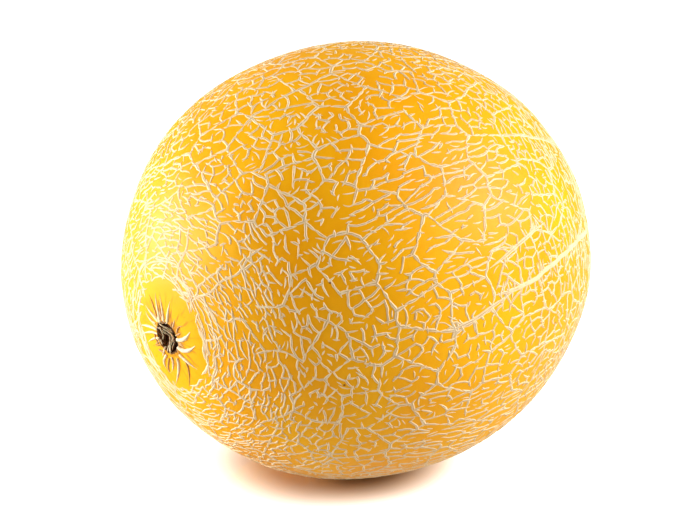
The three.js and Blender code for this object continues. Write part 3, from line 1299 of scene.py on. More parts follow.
@dataclass(frozen=True)
class CorkFinish(Finish):
    """Dry cork of the net: beige, with a darker cracked line along the crest of the wider cords, and painted
    shade along the foot of every cord.
    """

    name: str = "net_cork"
    roughness: float = 0.72
    slot: str = "net"
    grain_scale: float = 1800.0
    patch_scale: float = 160.0
    speckle_scale: float = 1500.0
    pale: Colour = (0.88, 0.69, 0.43, 1)
    dark: Colour = (0.75, 0.49, 0.23, 1)
    # The crack colour also paints the shade along each cord's foot.
    crack_and_foot_shade: Colour = (0.44, 0.26, 0.12, 1)
    cracked_from: Pair = (0.00034, 0.00048)
    cracked_to: Pair = (0.0009, 0.0007)

    def make(self) -> Material:
        """Make the material.

        Returns:
            The material.
        """
        material, sheet, place = self.start()
        patches, speckles = self.mottle(sheet, place)
        grain = self.fine_grain(sheet, place)
        across = sheet.math("ABSOLUTE", sheet.attribute("across"))
        patches = sheet.math("MULTIPLY", patches, 0.35)
        uneven = sheet.math("MULTIPLY_ADD", sheet.attribute("shade"), 0.45, patches)
        colour = sheet.mix(uneven, self.pale, self.dark)
        colour = sheet.mix(sheet.math("MULTIPLY", speckles, 0.2), colour, self.pale)
        broken = self.cracks(sheet, place, across)
        colour = sheet.mix(sheet.math("MULTIPLY", broken, 0.85), colour, self.crack_and_foot_shade)
        # The cords darken towards their foot, where they meet the skin: painted shade.
        foot = sheet.math("MULTIPLY", sheet.ramp(across, 0.82, 1.0), 0.5)
        colour = sheet.mix(foot, colour, self.crack_and_foot_shade)
        height = sheet.math("SUBTRACT", grain, sheet.math("MULTIPLY", broken, 0.6))
        inputs = {
            "Base Color": colour,
            "Roughness": self.uneven(sheet, grain, 0.2),
            "Normal": sheet.bump(height, strength=0.5, distance=0.00018),
            "Subsurface Weight": 0.15,
            "Subsurface Radius": (1.0, 0.7, 0.4),
            "Subsurface Scale": 0.0008,
            "Specular IOR Level": 0.35,
        }
        self.end(sheet, inputs)
        return material

    def cracks(self, sheet: NodeSheet, place: Socket, across: Socket) -> Socket:
        """Add the nodes of the broken line along the crest.

        Args:
            sheet: the material's sheet.
            place: the socket of places over the piece.
            across: the distance from the crest, 1 at the cord's foot.

        Returns:
            Its mask.
        """
        width = sheet.attribute("half_width")
        wide, narrow = sheet.ramp(width, *self.cracked_from), sheet.ramp(width, *self.cracked_to)
        line = sheet.math("MULTIPLY", sheet.ramp(across, 0.34, 0.1), sheet.math("MULTIPLY", wide, narrow))
        return sheet.math("MULTIPLY", line, sheet.ramp(sheet.noise(place, 420.0), 0.28, 0.48))


@dataclass(frozen=True)
class ScarFinish(Finish):
    """Dead dark-brown tissue of the stem pit, streaked out from its middle; its near-black is partly painted
    shade in the pit, and it turns paler at the rim.
    """

    name: str = "scar_tissue"
    roughness: float = 0.8
    slot: str = "scar"
    grain_scale: float = 1300.0
    # The near-black stands for the dark tissue and also paints the shade in the pit.
    dark: Colour = (0.017, 0.006, 0.003, 1)
    brown: Colour = (0.11, 0.038, 0.010, 1)
    rim: Colour = (0.24, 0.11, 0.035, 1)

    def make(self) -> Material:
        """Make the material.

        Returns:
            The material.
        """
        material, sheet, place = self.start()
        grain = self.fine_grain(sheet, place)
        around = sheet.attribute("scar_round", "Vector")
        edge = sheet.attribute("scar_edge")
        streaks = sheet.ramp(sheet.noise(around, 6.0, 4.0), 0.35, 0.7)
        colour = sheet.mix(streaks, self.dark, self.brown)
        # Paler brown in patches at the rim; the darker lining inside it is partly painted shade.
        paler_rim = sheet.math("MULTIPLY", sheet.ramp(edge, 0.86, 1.0), sheet.ramp(grain, 0.3, 0.6))
        colour = sheet.mix(paler_rim, colour, self.rim)
        height = sheet.math("MULTIPLY_ADD", streaks, 0.5, grain)
        inputs = {
            "Base Color": colour,
            "Roughness": self.uneven(sheet, grain, 0.2),
            "Normal": sheet.bump(height, strength=0.8, distance=0.0004),
            "Specular IOR Level": 0.05,
        }
        self.end(sheet, inputs)
        return material


@dataclass(frozen=True)
class FibreFinish(Finish):
    """Torn fibres and strands of the stem: cream to brown, with a fine grain and painted shade towards their
    feet.
    """

    name: str = "stem_fibre"
    roughness: float = 0.68
    slot: str = "net"
    grain_scale: float = 1900.0
    patch_scale: float = 500.0
    speckle_scale: float = 2500.0
    cream: Colour = (0.90, 0.76, 0.50, 1)
    tan: Colour = (0.50, 0.25, 0.08, 1)
    brown: Colour = (0.07, 0.022, 0.006, 1)

    def make(self) -> Material:
        """Make the material.

        Returns:
            The material.
        """
        material, sheet, place = self.start()
        patches, _ = self.mottle(sheet, place)
        grain = self.fine_grain(sheet, place)
        across = sheet.math("ABSOLUTE", sheet.attribute("across"))
        uneven = sheet.math("MULTIPLY_ADD", patches, 0.22, sheet.attribute("shade"))
        colour = sheet.mix(sheet.ramp(uneven, 0.1, 0.6), self.cream, self.tan)
        colour = sheet.mix(sheet.ramp(uneven, 0.6, 1.0), colour, self.brown)
        # Fibres and strands turn tan towards their foot: painted shade where they meet the surface under
        # them.
        colour = sheet.mix(sheet.math("MULTIPLY", sheet.ramp(across, 0.8, 1.0), 0.35), colour, self.tan)
        inputs = {
            "Base Color": colour,
            "Roughness": self.uneven(sheet, grain, 0.2),
            "Normal": sheet.bump(grain, strength=0.5, distance=0.00015),
            "Subsurface Weight": 0.1,
            "Subsurface Scale": 0.0006,
            "Specular IOR Level": 0.06,
        }
        self.end(sheet, inputs)
        return material


@dataclass(frozen=True)
class FloorFinish(Finish):
    """The pale floor: it lights itself for the camera alone, but not under the melon, where a brown base
    colour paints the melon's shadow and a warm glow paints its reflection.
    """

    name: str = "pale_floor"
    roughness: float = 0.06
    shadow_middle: Triple = (-0.0062, 0.0033, 0.0)
    plain: Colour = (0.7, 0.7, 0.7, 1)
    # The brown near the melon is a painted shadow and painted warm reflection of the melon.
    near: Colour = (0.5, 0.27, 0.13, 1)
    far: Colour = (0.9, 0.9, 0.9, 1)
    # The warm glow colour near the melon is a painted reflection of the melon.
    painted_warm_reflection: Colour = (1.0, 0.66, 0.36, 1)
    white_light: Colour = (1, 1, 1, 1)

    def make(self) -> Material:
        """Make the material.

        Returns:
            The material.
        """
        material, sheet, place = self.start()
        away = sheet.distance(place, self.shadow_middle)
        seen = sheet.add("ShaderNodeLightPath").outputs["Is Camera Ray"]
        # Camera rays see a brown base near the melon: a painted shadow and painted warm reflection on the
        # floor.
        camera_base_with_painted_shadow = sheet.mix(sheet.ramp(away, 0.02, 0.045), self.near, self.far)
        inputs = {
            "Base Color": sheet.mix(seen, self.plain, camera_base_with_painted_shadow),
            "Roughness": self.roughness,
            "IOR": 1.8,
            # The glow fades out near the melon, which paints its shadow, and turns warm there, which paints
            # its reflection.
            "Emission Color": sheet.mix(sheet.ramp(away, 0.024, 0.05), self.painted_warm_reflection, self.white_light),
            "Emission Strength": sheet.math("MULTIPLY", seen, sheet.ramp(away, 0.024, 0.054)),
        }
        self.end(sheet, inputs)
        return material


@dataclass(frozen=True)
class Profile:
    """The cross-section of a cord: a low dome, in shares of its half-width."""

    points: int
    crest: float = 0.72
    sink: float = 0.4
    groove: float = 0.0
    roughness: float = 0.00004


@dataclass
class SweptPath:
    """A path to sweep: points in millimetres, half-widths, outward directions and a shade from 0 to 1."""

    points: Array
    half_width: Array
    up: Array
    shade: float


class CordTree:
    """The geometry node tree that sweeps a domed profile along edges."""

    SIZES = ("Crest", "Sink", "Groove", "Roughness", "Seed")

    def __init__(self) -> None:
        """Make the tree with its named inputs."""
        inputs = {"Geometry": "Geometry", "Profile Points": "Int", "Material": "Material"}
        inputs |= {name: "Float" for name in self.SIZES}
        group = node_group("sweep_cords", "GeometryNodeTree", inputs, {"Geometry": "Geometry"})
        self.sheet, self.given, self.result = group
        self.build()

    def profile(self) -> Socket:
        """Add the nodes of the profile.

        Returns:
            The closed profile curve. Its x is up and its y is across.
        """
        sheet, given = self.sheet, self.given
        line = sheet.add("GeometryNodeMeshLine", {"Count": given["Profile Points"], "Offset": (0, 0, 0)})
        index = sheet.add("GeometryNodeInputIndex").outputs[0]
        last = sheet.math("SUBTRACT", given["Profile Points"], 1.0)
        turn = sheet.math("MULTIPLY_ADD", sheet.math("DIVIDE", index, last), math.pi, -math.pi / 2)
        across = sheet.math("SINE", turn)
        side = sheet.math("POWER", sheet.math("ABSOLUTE", across), 2.2)
        dome = sheet.math("POWER", sheet.math("MAXIMUM", sheet.math("SUBTRACT", 1.0, side), 0.0), 0.7)
        rise = sheet.math("ADD", given["Crest"], given["Sink"])
        height = sheet.math("SUBTRACT", sheet.math("MULTIPLY", dome, rise), given["Sink"])
        near = sheet.math("POWER", sheet.math("DIVIDE", across, 0.3), 2.0)
        fall = sheet.math("EXPONENT", sheet.math("MULTIPLY", near, -1.0))
        dent = sheet.math("MULTIPLY", fall, given["Groove"])
        place = sheet.add("ShaderNodeCombineXYZ", {0: sheet.math("SUBTRACT", height, dent), 1: across})
        moved = sheet.add("GeometryNodeSetPosition", {"Geometry": line, "Position": place})
        inputs = {"Geometry": moved, "Name": "across", "Value": across}
        named = sheet.add("GeometryNodeStoreNamedAttribute", inputs, data_type="FLOAT")
        curve = sheet.add("GeometryNodeMeshToCurve", {"Mesh": named})
        closed = sheet.add("GeometryNodeSetSplineCyclic", {"Geometry": curve, "Cyclic": True})
        return closed.outputs[0]

    def named(self, name: str, kind: str) -> Socket:
        """Return a named attribute as a field."""
        node = self.sheet.add("GeometryNodeInputNamedAttribute", {"Name": name}, data_type=kind)
        return node.outputs["Attribute"]

    def build(self) -> None:
        """Add the nodes that sweep, roughen and dress the cords."""
        sheet, given = self.sheet, self.given
        curve = sheet.add("GeometryNodeMeshToCurve", {"Mesh": given["Geometry"]})
        inputs = {"Curve": curve, "Normal": self.named("up", "FLOAT_VECTOR")}
        turned = sheet.add("GeometryNodeSetCurveNormal", inputs, mode="FREE")
        width = self.named("half_width", "FLOAT")
        inputs = {"Curve": turned, "Profile Curve": self.profile(), "Scale": width, "Fill Caps": True}
        swept = sheet.add("GeometryNodeCurveToMesh", inputs)
        inputs = {"W": given["Seed"], "Scale": 1400.0, "Detail": 1.0}
        noise = sheet.add("ShaderNodeTexNoise", inputs, noise_dimensions="4D")
        inputs = {0: noise.outputs["Color"], 1: (0.5, 0.5, 0.5)}
        swing = sheet.add("ShaderNodeVectorMath", inputs, operation="SUBTRACT")
        inputs = {0: swing, "Scale": given["Roughness"]}
        offset = sheet.add("ShaderNodeVectorMath", inputs, operation="SCALE")
        rough = sheet.add("GeometryNodeSetPosition", {"Geometry": swept, "Offset": offset})
        smooth_shaded = sheet.add("GeometryNodeSetShadeSmooth", {"Geometry": rough})
        real = sheet.add("GeometryNodeRealizeInstances", {"Geometry": smooth_shaded})
        dressed = sheet.add("GeometryNodeSetMaterial", {"Geometry": real, "Material": given["Material"]})
        sheet.tree.links.new(dressed.outputs[0], self.result[0])

    def sweep(self, name: str, paths: list[SweptPath], profile: Profile, finish: Material) -> Mesh:
        """Sweep cords along paths.

        Args:
            name: the name of the new mesh.
            paths: the paths, in millimetres.
            profile: the cords' cross-section.
            finish: their material.

        Returns:
            One mesh that holds every cord, each closed.
        """
        host = self.host_of(name + "_paths", paths)
        carrier = bpy.data.objects.new(host.name, host)
        bpy.context.scene.collection.objects.link(carrier)
        modifier = carrier.modifiers.new("cords", "NODES")
        modifier.node_group = self.sheet.tree
        values = {
            "Profile Points": profile.points,
            "Crest": profile.crest,
            "Sink": profile.sink,
            "Groove": profile.groove,
            "Roughness": profile.roughness,
            "Seed": float(len(paths) % 97),
            "Material": finish,
        }
        for item in self.sheet.tree.interface.items_tree:
            if item.in_out == "INPUT" and item.name in values:
                modifier[item.identifier] = values[item.name]
        graph = bpy.context.evaluated_depsgraph_get()
        mesh = bpy.data.meshes.new_from_object(carrier.evaluated_get(graph))
        mesh.name = name
        bpy.data.objects.remove(carrier)
        bpy.data.meshes.remove(host)
        return mesh

    def host_of(self, name: str, paths: list[SweptPath]) -> Mesh:
        """Make the mesh of edges that the tree sweeps along.

        Args:
            name: its name.
            paths: the paths, in millimetres.

        Returns:
            The mesh, in metres, with the width, outward direction and shade at each point.
        """
        points = np.vstack([path.points for path in paths]) * MM
        ends = np.cumsum([len(path.points) for path in paths])
        index = np.arange(len(points) - 1)
        edges = np.c_[index, index + 1][~np.isin(index + 1, ends)]
        host = bpy.data.meshes.new(name)
        host.from_pydata(points.tolist(), edges.tolist(), [])
        store(host, "half_width", np.concatenate([path.half_width for path in paths]) * MM)
        store(host, "up", np.vstack([path.up for path in paths]))
        store(host, "shade", np.concatenate([np.full(len(path.points), path.shade) for path in paths]))
        return host


def add_piece(mesh: Mesh, slot: str) -> bpy.types.Object:
    """Add a mesh to the scene as a piece of the melon.

    Args:
        mesh: its mesh, in metres, already dressed.
        slot: the record's material slot of its finish. It is not used.

    Returns:
        The piece.
    """
    fix_outward(mesh)
    piece = bpy.data.objects.new(mesh.name, mesh)
    bpy.context.scene.collection.objects.link(piece)
    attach(piece, "root")
    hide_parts(NODE)
    LOG.info("%s: %d faces", piece.name, len(mesh.polygons))
    return piece


def fix_outward(mesh: Mesh) -> None:
    """Turn a closed mesh the right way out, if its volume comes out negative.

    Args:
        mesh: the mesh.
    """
    work = bmesh.new()
    work.from_mesh(mesh)
    if work.calc_volume(signed=True) < 0:
        bmesh.ops.reverse_faces(work, faces=work.faces)
        work.to_mesh(mesh)
    work.free()


def polar_grid(rings: Array, count: int) -> tuple[Array, Array]:
    """Return the ring and the turn of every point of a mesh of rings, as rings by points."""
    turn = np.linspace(0, FULL_TURN, count, endpoint=False)
    return tuple(np.meshgrid(rings, turn, indexing="ij"))


def ringed_mesh(name: str, rings: Array, first: Array, last: Array) -> Mesh:
    """Make a closed mesh of rings between two end points.

    Args:
        name: the name of the new mesh.
        rings: points in millimetres, as rings by points by 3.
        first: the end point before the first ring.
        last: the end point after the last ring.

    Returns:
        The mesh, in metres, shaded smooth.
    """
    count, turns, _ = rings.shape
    points = np.vstack([rings.reshape(-1, 3), first, last]) * MM
    k = np.arange(turns)
    after = (k + 1) % turns
    start = (np.arange(count - 1) * turns)[:, None]
    corners = [start + k, start + after, start + turns + after, start + turns + k]
    quads = np.stack(corners, axis=-1).reshape(-1, 4)
    end = (count - 1) * turns
    caps = [[count * turns, b, a] for a, b in zip(k.tolist(), after.tolist())]
    caps += [[count * turns + 1, end + a, end + b] for a, b in zip(k.tolist(), after.tolist())]
    mesh = bpy.data.meshes.new(name)
    mesh.from_pydata(points.tolist(), [], quads.tolist() + caps)
    mesh.shade_smooth()
    return mesh


def store(mesh: Mesh, name: str, values: Array) -> None:
    """Store a number or a vector for each of a mesh's points.

    Args:
        mesh: the mesh.
        name: the new attribute's name.
        values: one number or one vector for each point.
    """
    kind, key = ("FLOAT", "value") if values.ndim == 1 else ("FLOAT_VECTOR", "vector")
    attribute = mesh.attributes.new(name, kind, "POINT")
    attribute.data.foreach_set(key, values.astype(np.float32).ravel())


def ragged(turn: Array, seed: int, counts: tuple[int, ...]) -> Array:
    """Return an uneven value that closes up round a turn.

    Args:
        turn: turns in radians.
        seed: the seed of its unevenness.
        counts: how many waves of each kind go round.

    Returns:
        Values from about -1 to 1.
    """
    random = RandomSource(seed)
    total = np.zeros_like(turn)
    for count in counts:
        total += np.sin(count * turn + random() * FULL_TURN) * random.between(0.5, 1)
    return total / len(counts)


@dataclass
class StemShape:
    """The sizes of the stem end, and the heights over it."""

    rind: Rind
    pit_radius: float = 5.2
    pit_lean: float = 1.2
    pit_lean_turn: float = 20
    pit_depth: float = 3.0
    pit_wall: float = 1.5
    raggedness: float = 0.4
    lip: float = 0.25
    lip_width: float = 0.55

    def radius_at(self, turn: Array) -> Array:
        """Return the pit's radius at a turn round the pole."""
        lean = self.pit_lean * np.cos(turn - math.radians(self.pit_lean_turn))
        return self.pit_radius + lean + self.raggedness * ragged(turn, 11, (2, 3, 5, 9, 14, 23))

    def relief_at(self, away: Array, turn: Array) -> Array:
        """Return the skin's height over the bare shape near the pit.

        Args:
            away: distances from the pole in millimetres.
            turn: turns round it.

        Returns:
            Heights in millimetres.
        """
        edge = away - self.radius_at(turn)
        floor = -self.pit_depth * (1 - smooth(edge, -self.pit_wall, 0.25))
        return floor + self.lip * np.exp(-(((edge - 0.5) / self.lip_width) ** 2))

    def direction_at(self, away: Array, turn: Array) -> Array:
        """Return directions at a distance in millimetres and a turn from the pole."""
        return self.rind.direction_at(np.degrees(away / self.rind.mean_radius), np.degrees(turn))

    def point_at(self, away: Array, turn: Array, height: Array) -> Array:
        """Return points at a distance and turn from the pole, and a height over the bare shape."""
        return self.rind.points_at(self.direction_at(away, turn), height)


@dataclass
class Skin:
    """The smooth skin, as one closed surface that dips beside each cord of the net."""

    rind: Rind
    stem: StemShape
    turns: int = 280
    rings: int = 186
    pit_rings: int = 32
    pit_reach: float = 8.5
    dip: float = 0.07
    dip_reach: float = 0.95
    specks: tuple[Triple, ...] = (
        (48.4, 205.8, 0.62), (43.5, 203.4, 0.5), (47.0, 169.4, 0.5), (103.9, 172.1, 0.5),
    )

    def build(self, cords: list[Cord], finish: SkinFinish) -> bpy.types.Object:
        """Build and dress the skin.

        Args:
            cords: the cords of the net.
            finish: its finish.

        Returns:
            The piece.
        """
        reach = math.degrees(self.pit_reach / self.rind.mean_radius)
        near = np.linspace(0, reach, self.pit_rings + 1)[1:]
        colatitude = np.concatenate([near, np.linspace(reach, 180, self.rings + 1)[1:-1]])
        colatitudes, turns = polar_grid(colatitude, self.turns)
        n = self.rind.direction_at(colatitudes, np.degrees(turns))
        away = np.radians(colatitudes) * self.rind.mean_radius
        dips = self.dip * self.nearness(n.reshape(-1, 3), cords).reshape(away.shape)
        rings = self.rind.points_at(n, self.stem.relief_at(away, turns) - dips)
        poles = np.array([self.rind.pole, -self.rind.pole])
        ends = self.rind.points_at(poles, np.array([-self.stem.pit_depth, 0]))
        mesh = ringed_mesh("skin", rings, ends[0], ends[1])
        around = np.stack([np.cos(turns), np.sin(turns), away / 60], axis=-1).reshape(-1, 3)
        store(mesh, "stem_round", np.vstack([around, [[0, 0, 0], [0, 0, 4]]]))
        store(mesh, "stem_away", np.concatenate([away.ravel(), [0, 240]]))
        mesh.materials.append(finish.make())
        return add_piece(mesh, finish.slot)

    def nearness(self, n: Array, cords: list[Cord]) -> Array:
        """Return how near directions are to the heavier cords.

        Args:
            n: unit directions.
            cords: the cords of the net.

        Returns:
            1 on a cord and 0 away from it, for each direction.
        """
        points = np.vstack([cord.n for cord in cords if cord.level is not CordLevel.THREAD])
        tree = KDTree(len(points))
        for i, point in enumerate(points):
            tree.insert(point, i)
        tree.balance()
        distance = np.array([tree.find(point)[2] for point in n]) * self.rind.mean_radius
        return np.exp(-((distance / self.dip_reach) ** 2))

    def speck_places(self) -> tuple[Speck, ...]:
        """Work out where the brown specks lie.

        Returns:
            The place and the size of each, in metres.
        """
        places = []
        for colatitude, longitude, size in self.specks:
            point = self.rind.points_at(self.rind.direction_at(colatitude, longitude)) * MM
            places.append((*point.tolist(), size * MM))
        return tuple(places)


@dataclass
class Net:
    """The raised cork net over the skin, each level of cords in parts from the stem end on."""

    rind: Rind
    parts: tuple[str, str, str] = ("stem_end", "middle", "blossom_end")
    borders: Pair = (78.0, 106.0)
    profiles: dict[CordLevel, Profile] = field(
        default_factory=lambda: {
            CordLevel.SUTURE: Profile(9, crest=0.28, sink=0.22, groove=0.08),
            CordLevel.BORDER: Profile(7, crest=0.26, sink=0.24, groove=0.08),
            CordLevel.BRANCH: Profile(4, crest=0.31, sink=0.3),
            CordLevel.THREAD: Profile(4, crest=0.3, sink=0.3),
        }
    )

    def path_of(self, cord: Cord) -> SweptPath:
        """Return a cord's path over the skin."""
        points, up = self.rind.points_at(cord.n), self.rind.normals_at(cord.n)
        return SweptPath(points, cord.half_width, up, cord.shade)

    def part_of(self, cord: Cord) -> str:
        """Return the part of the net that a cord belongs to."""
        colatitude, _ = self.rind.place_of(cord.n[len(cord.n) // 2])
        return self.parts[sum(colatitude > border for border in self.borders)]

    def build(
        self, cords: list[Cord], tree: CordTree, cork: CorkFinish, material: Material
    ) -> list[bpy.types.Object]:
        """Build and dress the net.

        Args:
            cords: its cords.
            tree: the tree that sweeps them.
            cork: their finish.
            material: the finish's material.

        Returns:
            The pieces.
        """
        pieces = []
        for level, profile in self.profiles.items():
            laid = [cord for cord in cords if cord.level is level]
            for part in self.parts:
                paths = [self.path_of(cord) for cord in laid if self.part_of(cord) == part]
                if paths:
                    mesh = tree.sweep(f"net_{level.name.lower()}_{part}", paths, profile, material)
                    pieces.append(add_piece(mesh, cork.slot))
        return pieces


@dataclass(frozen=True)
class Strand:
    """A strand over the bare ring. Its places are degrees from the stem pole and longitude."""

    base: Pair
    middle: Pair
    tip: Pair
    width: float
    shade: float


@dataclass
class StemScar:
    """The dry scar where the stem came off: a dark pit, torn fibres in it, and strands over bare skin."""

    shape: StemShape
    seed: int = 31
    turns: int = 120
    rim_overlap: float = 0.45
    lining: Pair = (0.2, 0.45)
    fibres: int = 66
    dense_share: float = 0.8
    fibre_length: Pair = (1.8, 5.0)
    fibre_half_width: Pair = (0.12, 0.26)
    loose_strands: int = 16
    loose_reach: Pair = (1.2, 3.6)
    loose_width: Pair = (0.32, 0.6)
    strand_profile: Profile = Profile(7, crest=0.9, sink=0.3, roughness=0.00006)
    fibre_profile: Profile = Profile(6, crest=0.9, sink=0.9, roughness=0.00003)
    strands: tuple[Strand, ...] = (
        Strand((3.7, 275.2), (6.8, 267.2), (10.2, 263.2), 0.66, 0.0),
        Strand((4.2, 294.7), (7.2, 285.5), (10.8, 285.4), 0.6, 0.05),
        Strand((4.8, 311.3), (7.8, 300.4), (11.8, 294.3), 0.6, 0.05),
        Strand((5.3, 322.6), (7.8, 325.2), (11.2, 328.3), 0.62, 0.0),
        Strand((5.8, 336.6), (8.1, 340.4), (10.8, 336.4), 0.55, 0.1),
        Strand((5.0, 352.6), (8.5, 356.8), (13.4, 3.7), 0.7, 0.05),
        Strand((5.0, 6.0), (8.2, 7.1), (13.4, 13.9), 0.65, 0.1),
        Strand((4.8, 19.3), (7.2, 19.2), (11.2, 23.6), 0.6, 0.15),
        Strand((3.1, 186.2), (6.0, 192.2), (9.0, 204.8), 1.05, 0.0),
        Strand((3.6, 153.6), (6.4, 162.1), (9.5, 182.0), 1.15, 0.0),
        Strand((5.0, 130.7), (7.5, 138.1), (11.0, 143.7), 0.8, 0.05),
        Strand((6.1, 67.9), (9.1, 63.1), (11.1, 69.5), 0.7, 0.1),
        Strand((5.6, 110.4), (8.9, 100.2), (14.3, 82.9), 0.7, 0.1),
        Strand((5.6, 86.4), (7.6, 88.4), (10.5, 80.1), 0.6, 0.15),
        Strand((6.1, 130.2), (9.1, 128.4), (13.5, 107.3), 0.5, 0.5),
        Strand((6.5, 76.9), (10.3, 73.6), (11.1, 78.6), 0.5, 0.4),
        Strand((5.5, 297.3), (7.7, 292.3), (10.2, 291.1), 0.4, 0.45),
        Strand((6.2, 315.6), (9.4, 308.7), (12.1, 308.9), 0.42, 0.45),
        Strand((4.0, 215.5), (5.6, 223.8), (7.4, 219.2), 0.55, 0.4),
        Strand((7.4, 43.8), (6.4, 56.6), (6.3, 66.9), 0.6, 0.5),
        Strand((6.3, 5.2), (6.2, 26.3), (6.1, 43.7), 0.6, 0.5),
    )

    def arc(self, strand: Strand) -> SweptPath:
        """Lay out the tapered path of a strand.

        Args:
            strand: the strand.

        Returns:
            The path.
        """
        rind = self.shape.rind
        places = np.array([strand.base, strand.middle, strand.tip])
        base, middle, tip = rind.direction_at(places[:, 0], places[:, 1])
        t = np.linspace(0, 1, 17)
        n = unit(bent_through(base, middle, tip, len(t)))
        colatitude, longitude = rind.place_of(n)
        edge = np.radians(colatitude) * rind.mean_radius - self.shape.radius_at(np.radians(longitude))
        lift = 0.3 * strand.width * (1 - t) - 0.7 * (1 - smooth(edge, -1.4, 0.6))
        half = strand.width / 2 * (0.98 + 0.22 * np.sin(math.pi * np.clip(t * 1.5, 0, 1)))
        half *= np.clip((1 - t) * 2.8, 0.1, 1) ** 0.8 * (1.12 + 0.1 * np.sin(t * 23 + tip[0] * 400))
        return SweptPath(rind.points_at(n, lift), half, rind.normals_at(n), strand.shade)

    def build(self, tree: CordTree, scar: ScarFinish, fibre: FibreFinish) -> list[bpy.types.Object]:
        """Build and dress the pit, its fibres and the strands.

        Args:
            tree: the tree that sweeps the fibres and the strands.
            scar: the pit's finish.
            fibre: the fibres' and the strands' finish.

        Returns:
            The pieces.
        """
        material = fibre.make()
        random = RandomSource(self.seed)
        strands = [*self.strands, *(self.loose_strand(random) for _ in range(self.loose_strands))]
        paths = [self.arc(strand) for strand in strands]
        strand_mesh = tree.sweep("stem_strands", paths, self.strand_profile, material)
        fibre_mesh = tree.sweep("stem_fibres", self.fibre_paths(random), self.fibre_profile, material)
        pit = self.build_pit(scar)
        return [pit, add_piece(strand_mesh, fibre.slot), add_piece(fibre_mesh, fibre.slot)]

    def loose_strand(self, random: RandomSource) -> Strand:
        """Draw one short loose strand at the pit's rim.

        Args:
            random: the scar's source of random numbers.

        Returns:
            The strand.
        """
        turn = random.between(0, 360)
        start = math.degrees(float(self.shape.radius_at(np.radians(turn))) / self.shape.rind.mean_radius)
        reach = random.between(*self.loose_reach)
        swing = random.between(-7, 7)
        middle = (start + reach * 0.5, turn + swing * random.between(0.1, 0.9))
        width = random.between(*self.loose_width)
        shade = random.between(0.05, 0.5)
        return Strand((start - 0.4, turn), middle, (start + reach, turn + swing), width, shade)

    def fibre_paths(self, random: RandomSource) -> list[SweptPath]:
        """Lay out the torn fibres, most of them side by side along one wall of the pit.

        Args:
            random: the scar's source of random numbers.

        Returns:
            Their paths.
        """
        paths = []
        rind = self.shape.rind
        lean = math.radians(self.shape.pit_lean_turn)
        for k in range(self.fibres):
            dense = k < self.fibres * self.dense_share
            x = random.between(1.6, 6.4) if dense else random.between(-4.2, 1.4)
            y = random.between(-4.4, 4.4)
            angle = math.pi / 2 + random.between(-0.34, 0.34) + (0 if dense else random.between(-0.5, 0.5))
            length = random.between(*self.fibre_length) * (1 if dense else 0.7)
            t = np.linspace(-0.5, 0.5, 11)
            bow = random.between(-0.55, 0.55) * (0.25 - t**2) * 4
            px = x + math.cos(angle) * length * t - math.sin(angle) * bow
            py = y + math.sin(angle) * length * t + math.cos(angle) * bow
            away = np.hypot(px, py)
            turns = np.arctan2(py, px) + lean
            inside = self.shape.radius_at(turns) - away
            if inside.min() < -0.35:
                continue
            wall = -self.shape.pit_depth * smooth(inside, 0.0, 3.4)
            height = wall + 0.25 + random.between(0, 0.9) * smooth(inside, 0.2, 2.0)
            n = self.shape.direction_at(away, turns)
            half = random.between(*self.fibre_half_width) * np.clip((0.5 - np.abs(t)) * 5, 0.18, 1)
            pale = random() < (0.5 if dense else 0.04)
            shade = random.between(0, 0.3) if pale else random.between(0.75, 1.1)
            paths.append(SweptPath(rind.points_at(n, height), half, rind.normals_at(n), shade))
        return paths

    def build_pit(self, finish: ScarFinish) -> bpy.types.Object:
        """Build and dress the dark lining of the pit, closed under the skin.

        Args:
            finish: its finish.

        Returns:
            The piece.
        """
        shape = self.shape
        share, turns = polar_grid(np.linspace(0.06, 1, 26), self.turns)
        away = share * (shape.radius_at(turns) + self.rim_overlap + 0.35 * ragged(turns, 17, (7, 13, 21, 34)))
        rough = 0.28 * ragged(turns + share * 1.3, 23, (5, 9, 16, 27)) * np.sin(share * math.pi)
        rough += 0.22 * ragged(turns - share * 2.1, 29, (4, 11, 19)) * (1 - share)
        over, under = self.lining
        top = shape.relief_at(away, turns) + rough + over * (1 - share**8)
        rings = shape.point_at(away, turns, top)
        below = shape.point_at(away, turns, shape.relief_at(away, turns) - under)[::-1]
        pole = shape.point_at(np.zeros(2), np.zeros(2), -shape.pit_depth + np.array([0.25, -under]))
        mesh = ringed_mesh("stem_pit", np.vstack([rings, below]), pole[0], pole[1])
        around = np.stack([np.cos(turns), np.sin(turns), share * 0.3], axis=-1)
        around = np.vstack([around, around[::-1]]).reshape(-1, 3)
        store(mesh, "scar_round", np.vstack([around, np.zeros((2, 3))]))
        store(mesh, "scar_edge", np.concatenate([share.ravel(), share[::-1].ravel(), [0, 0]]))
        mesh.materials.append(finish.make())
        return add_piece(mesh, finish.slot)


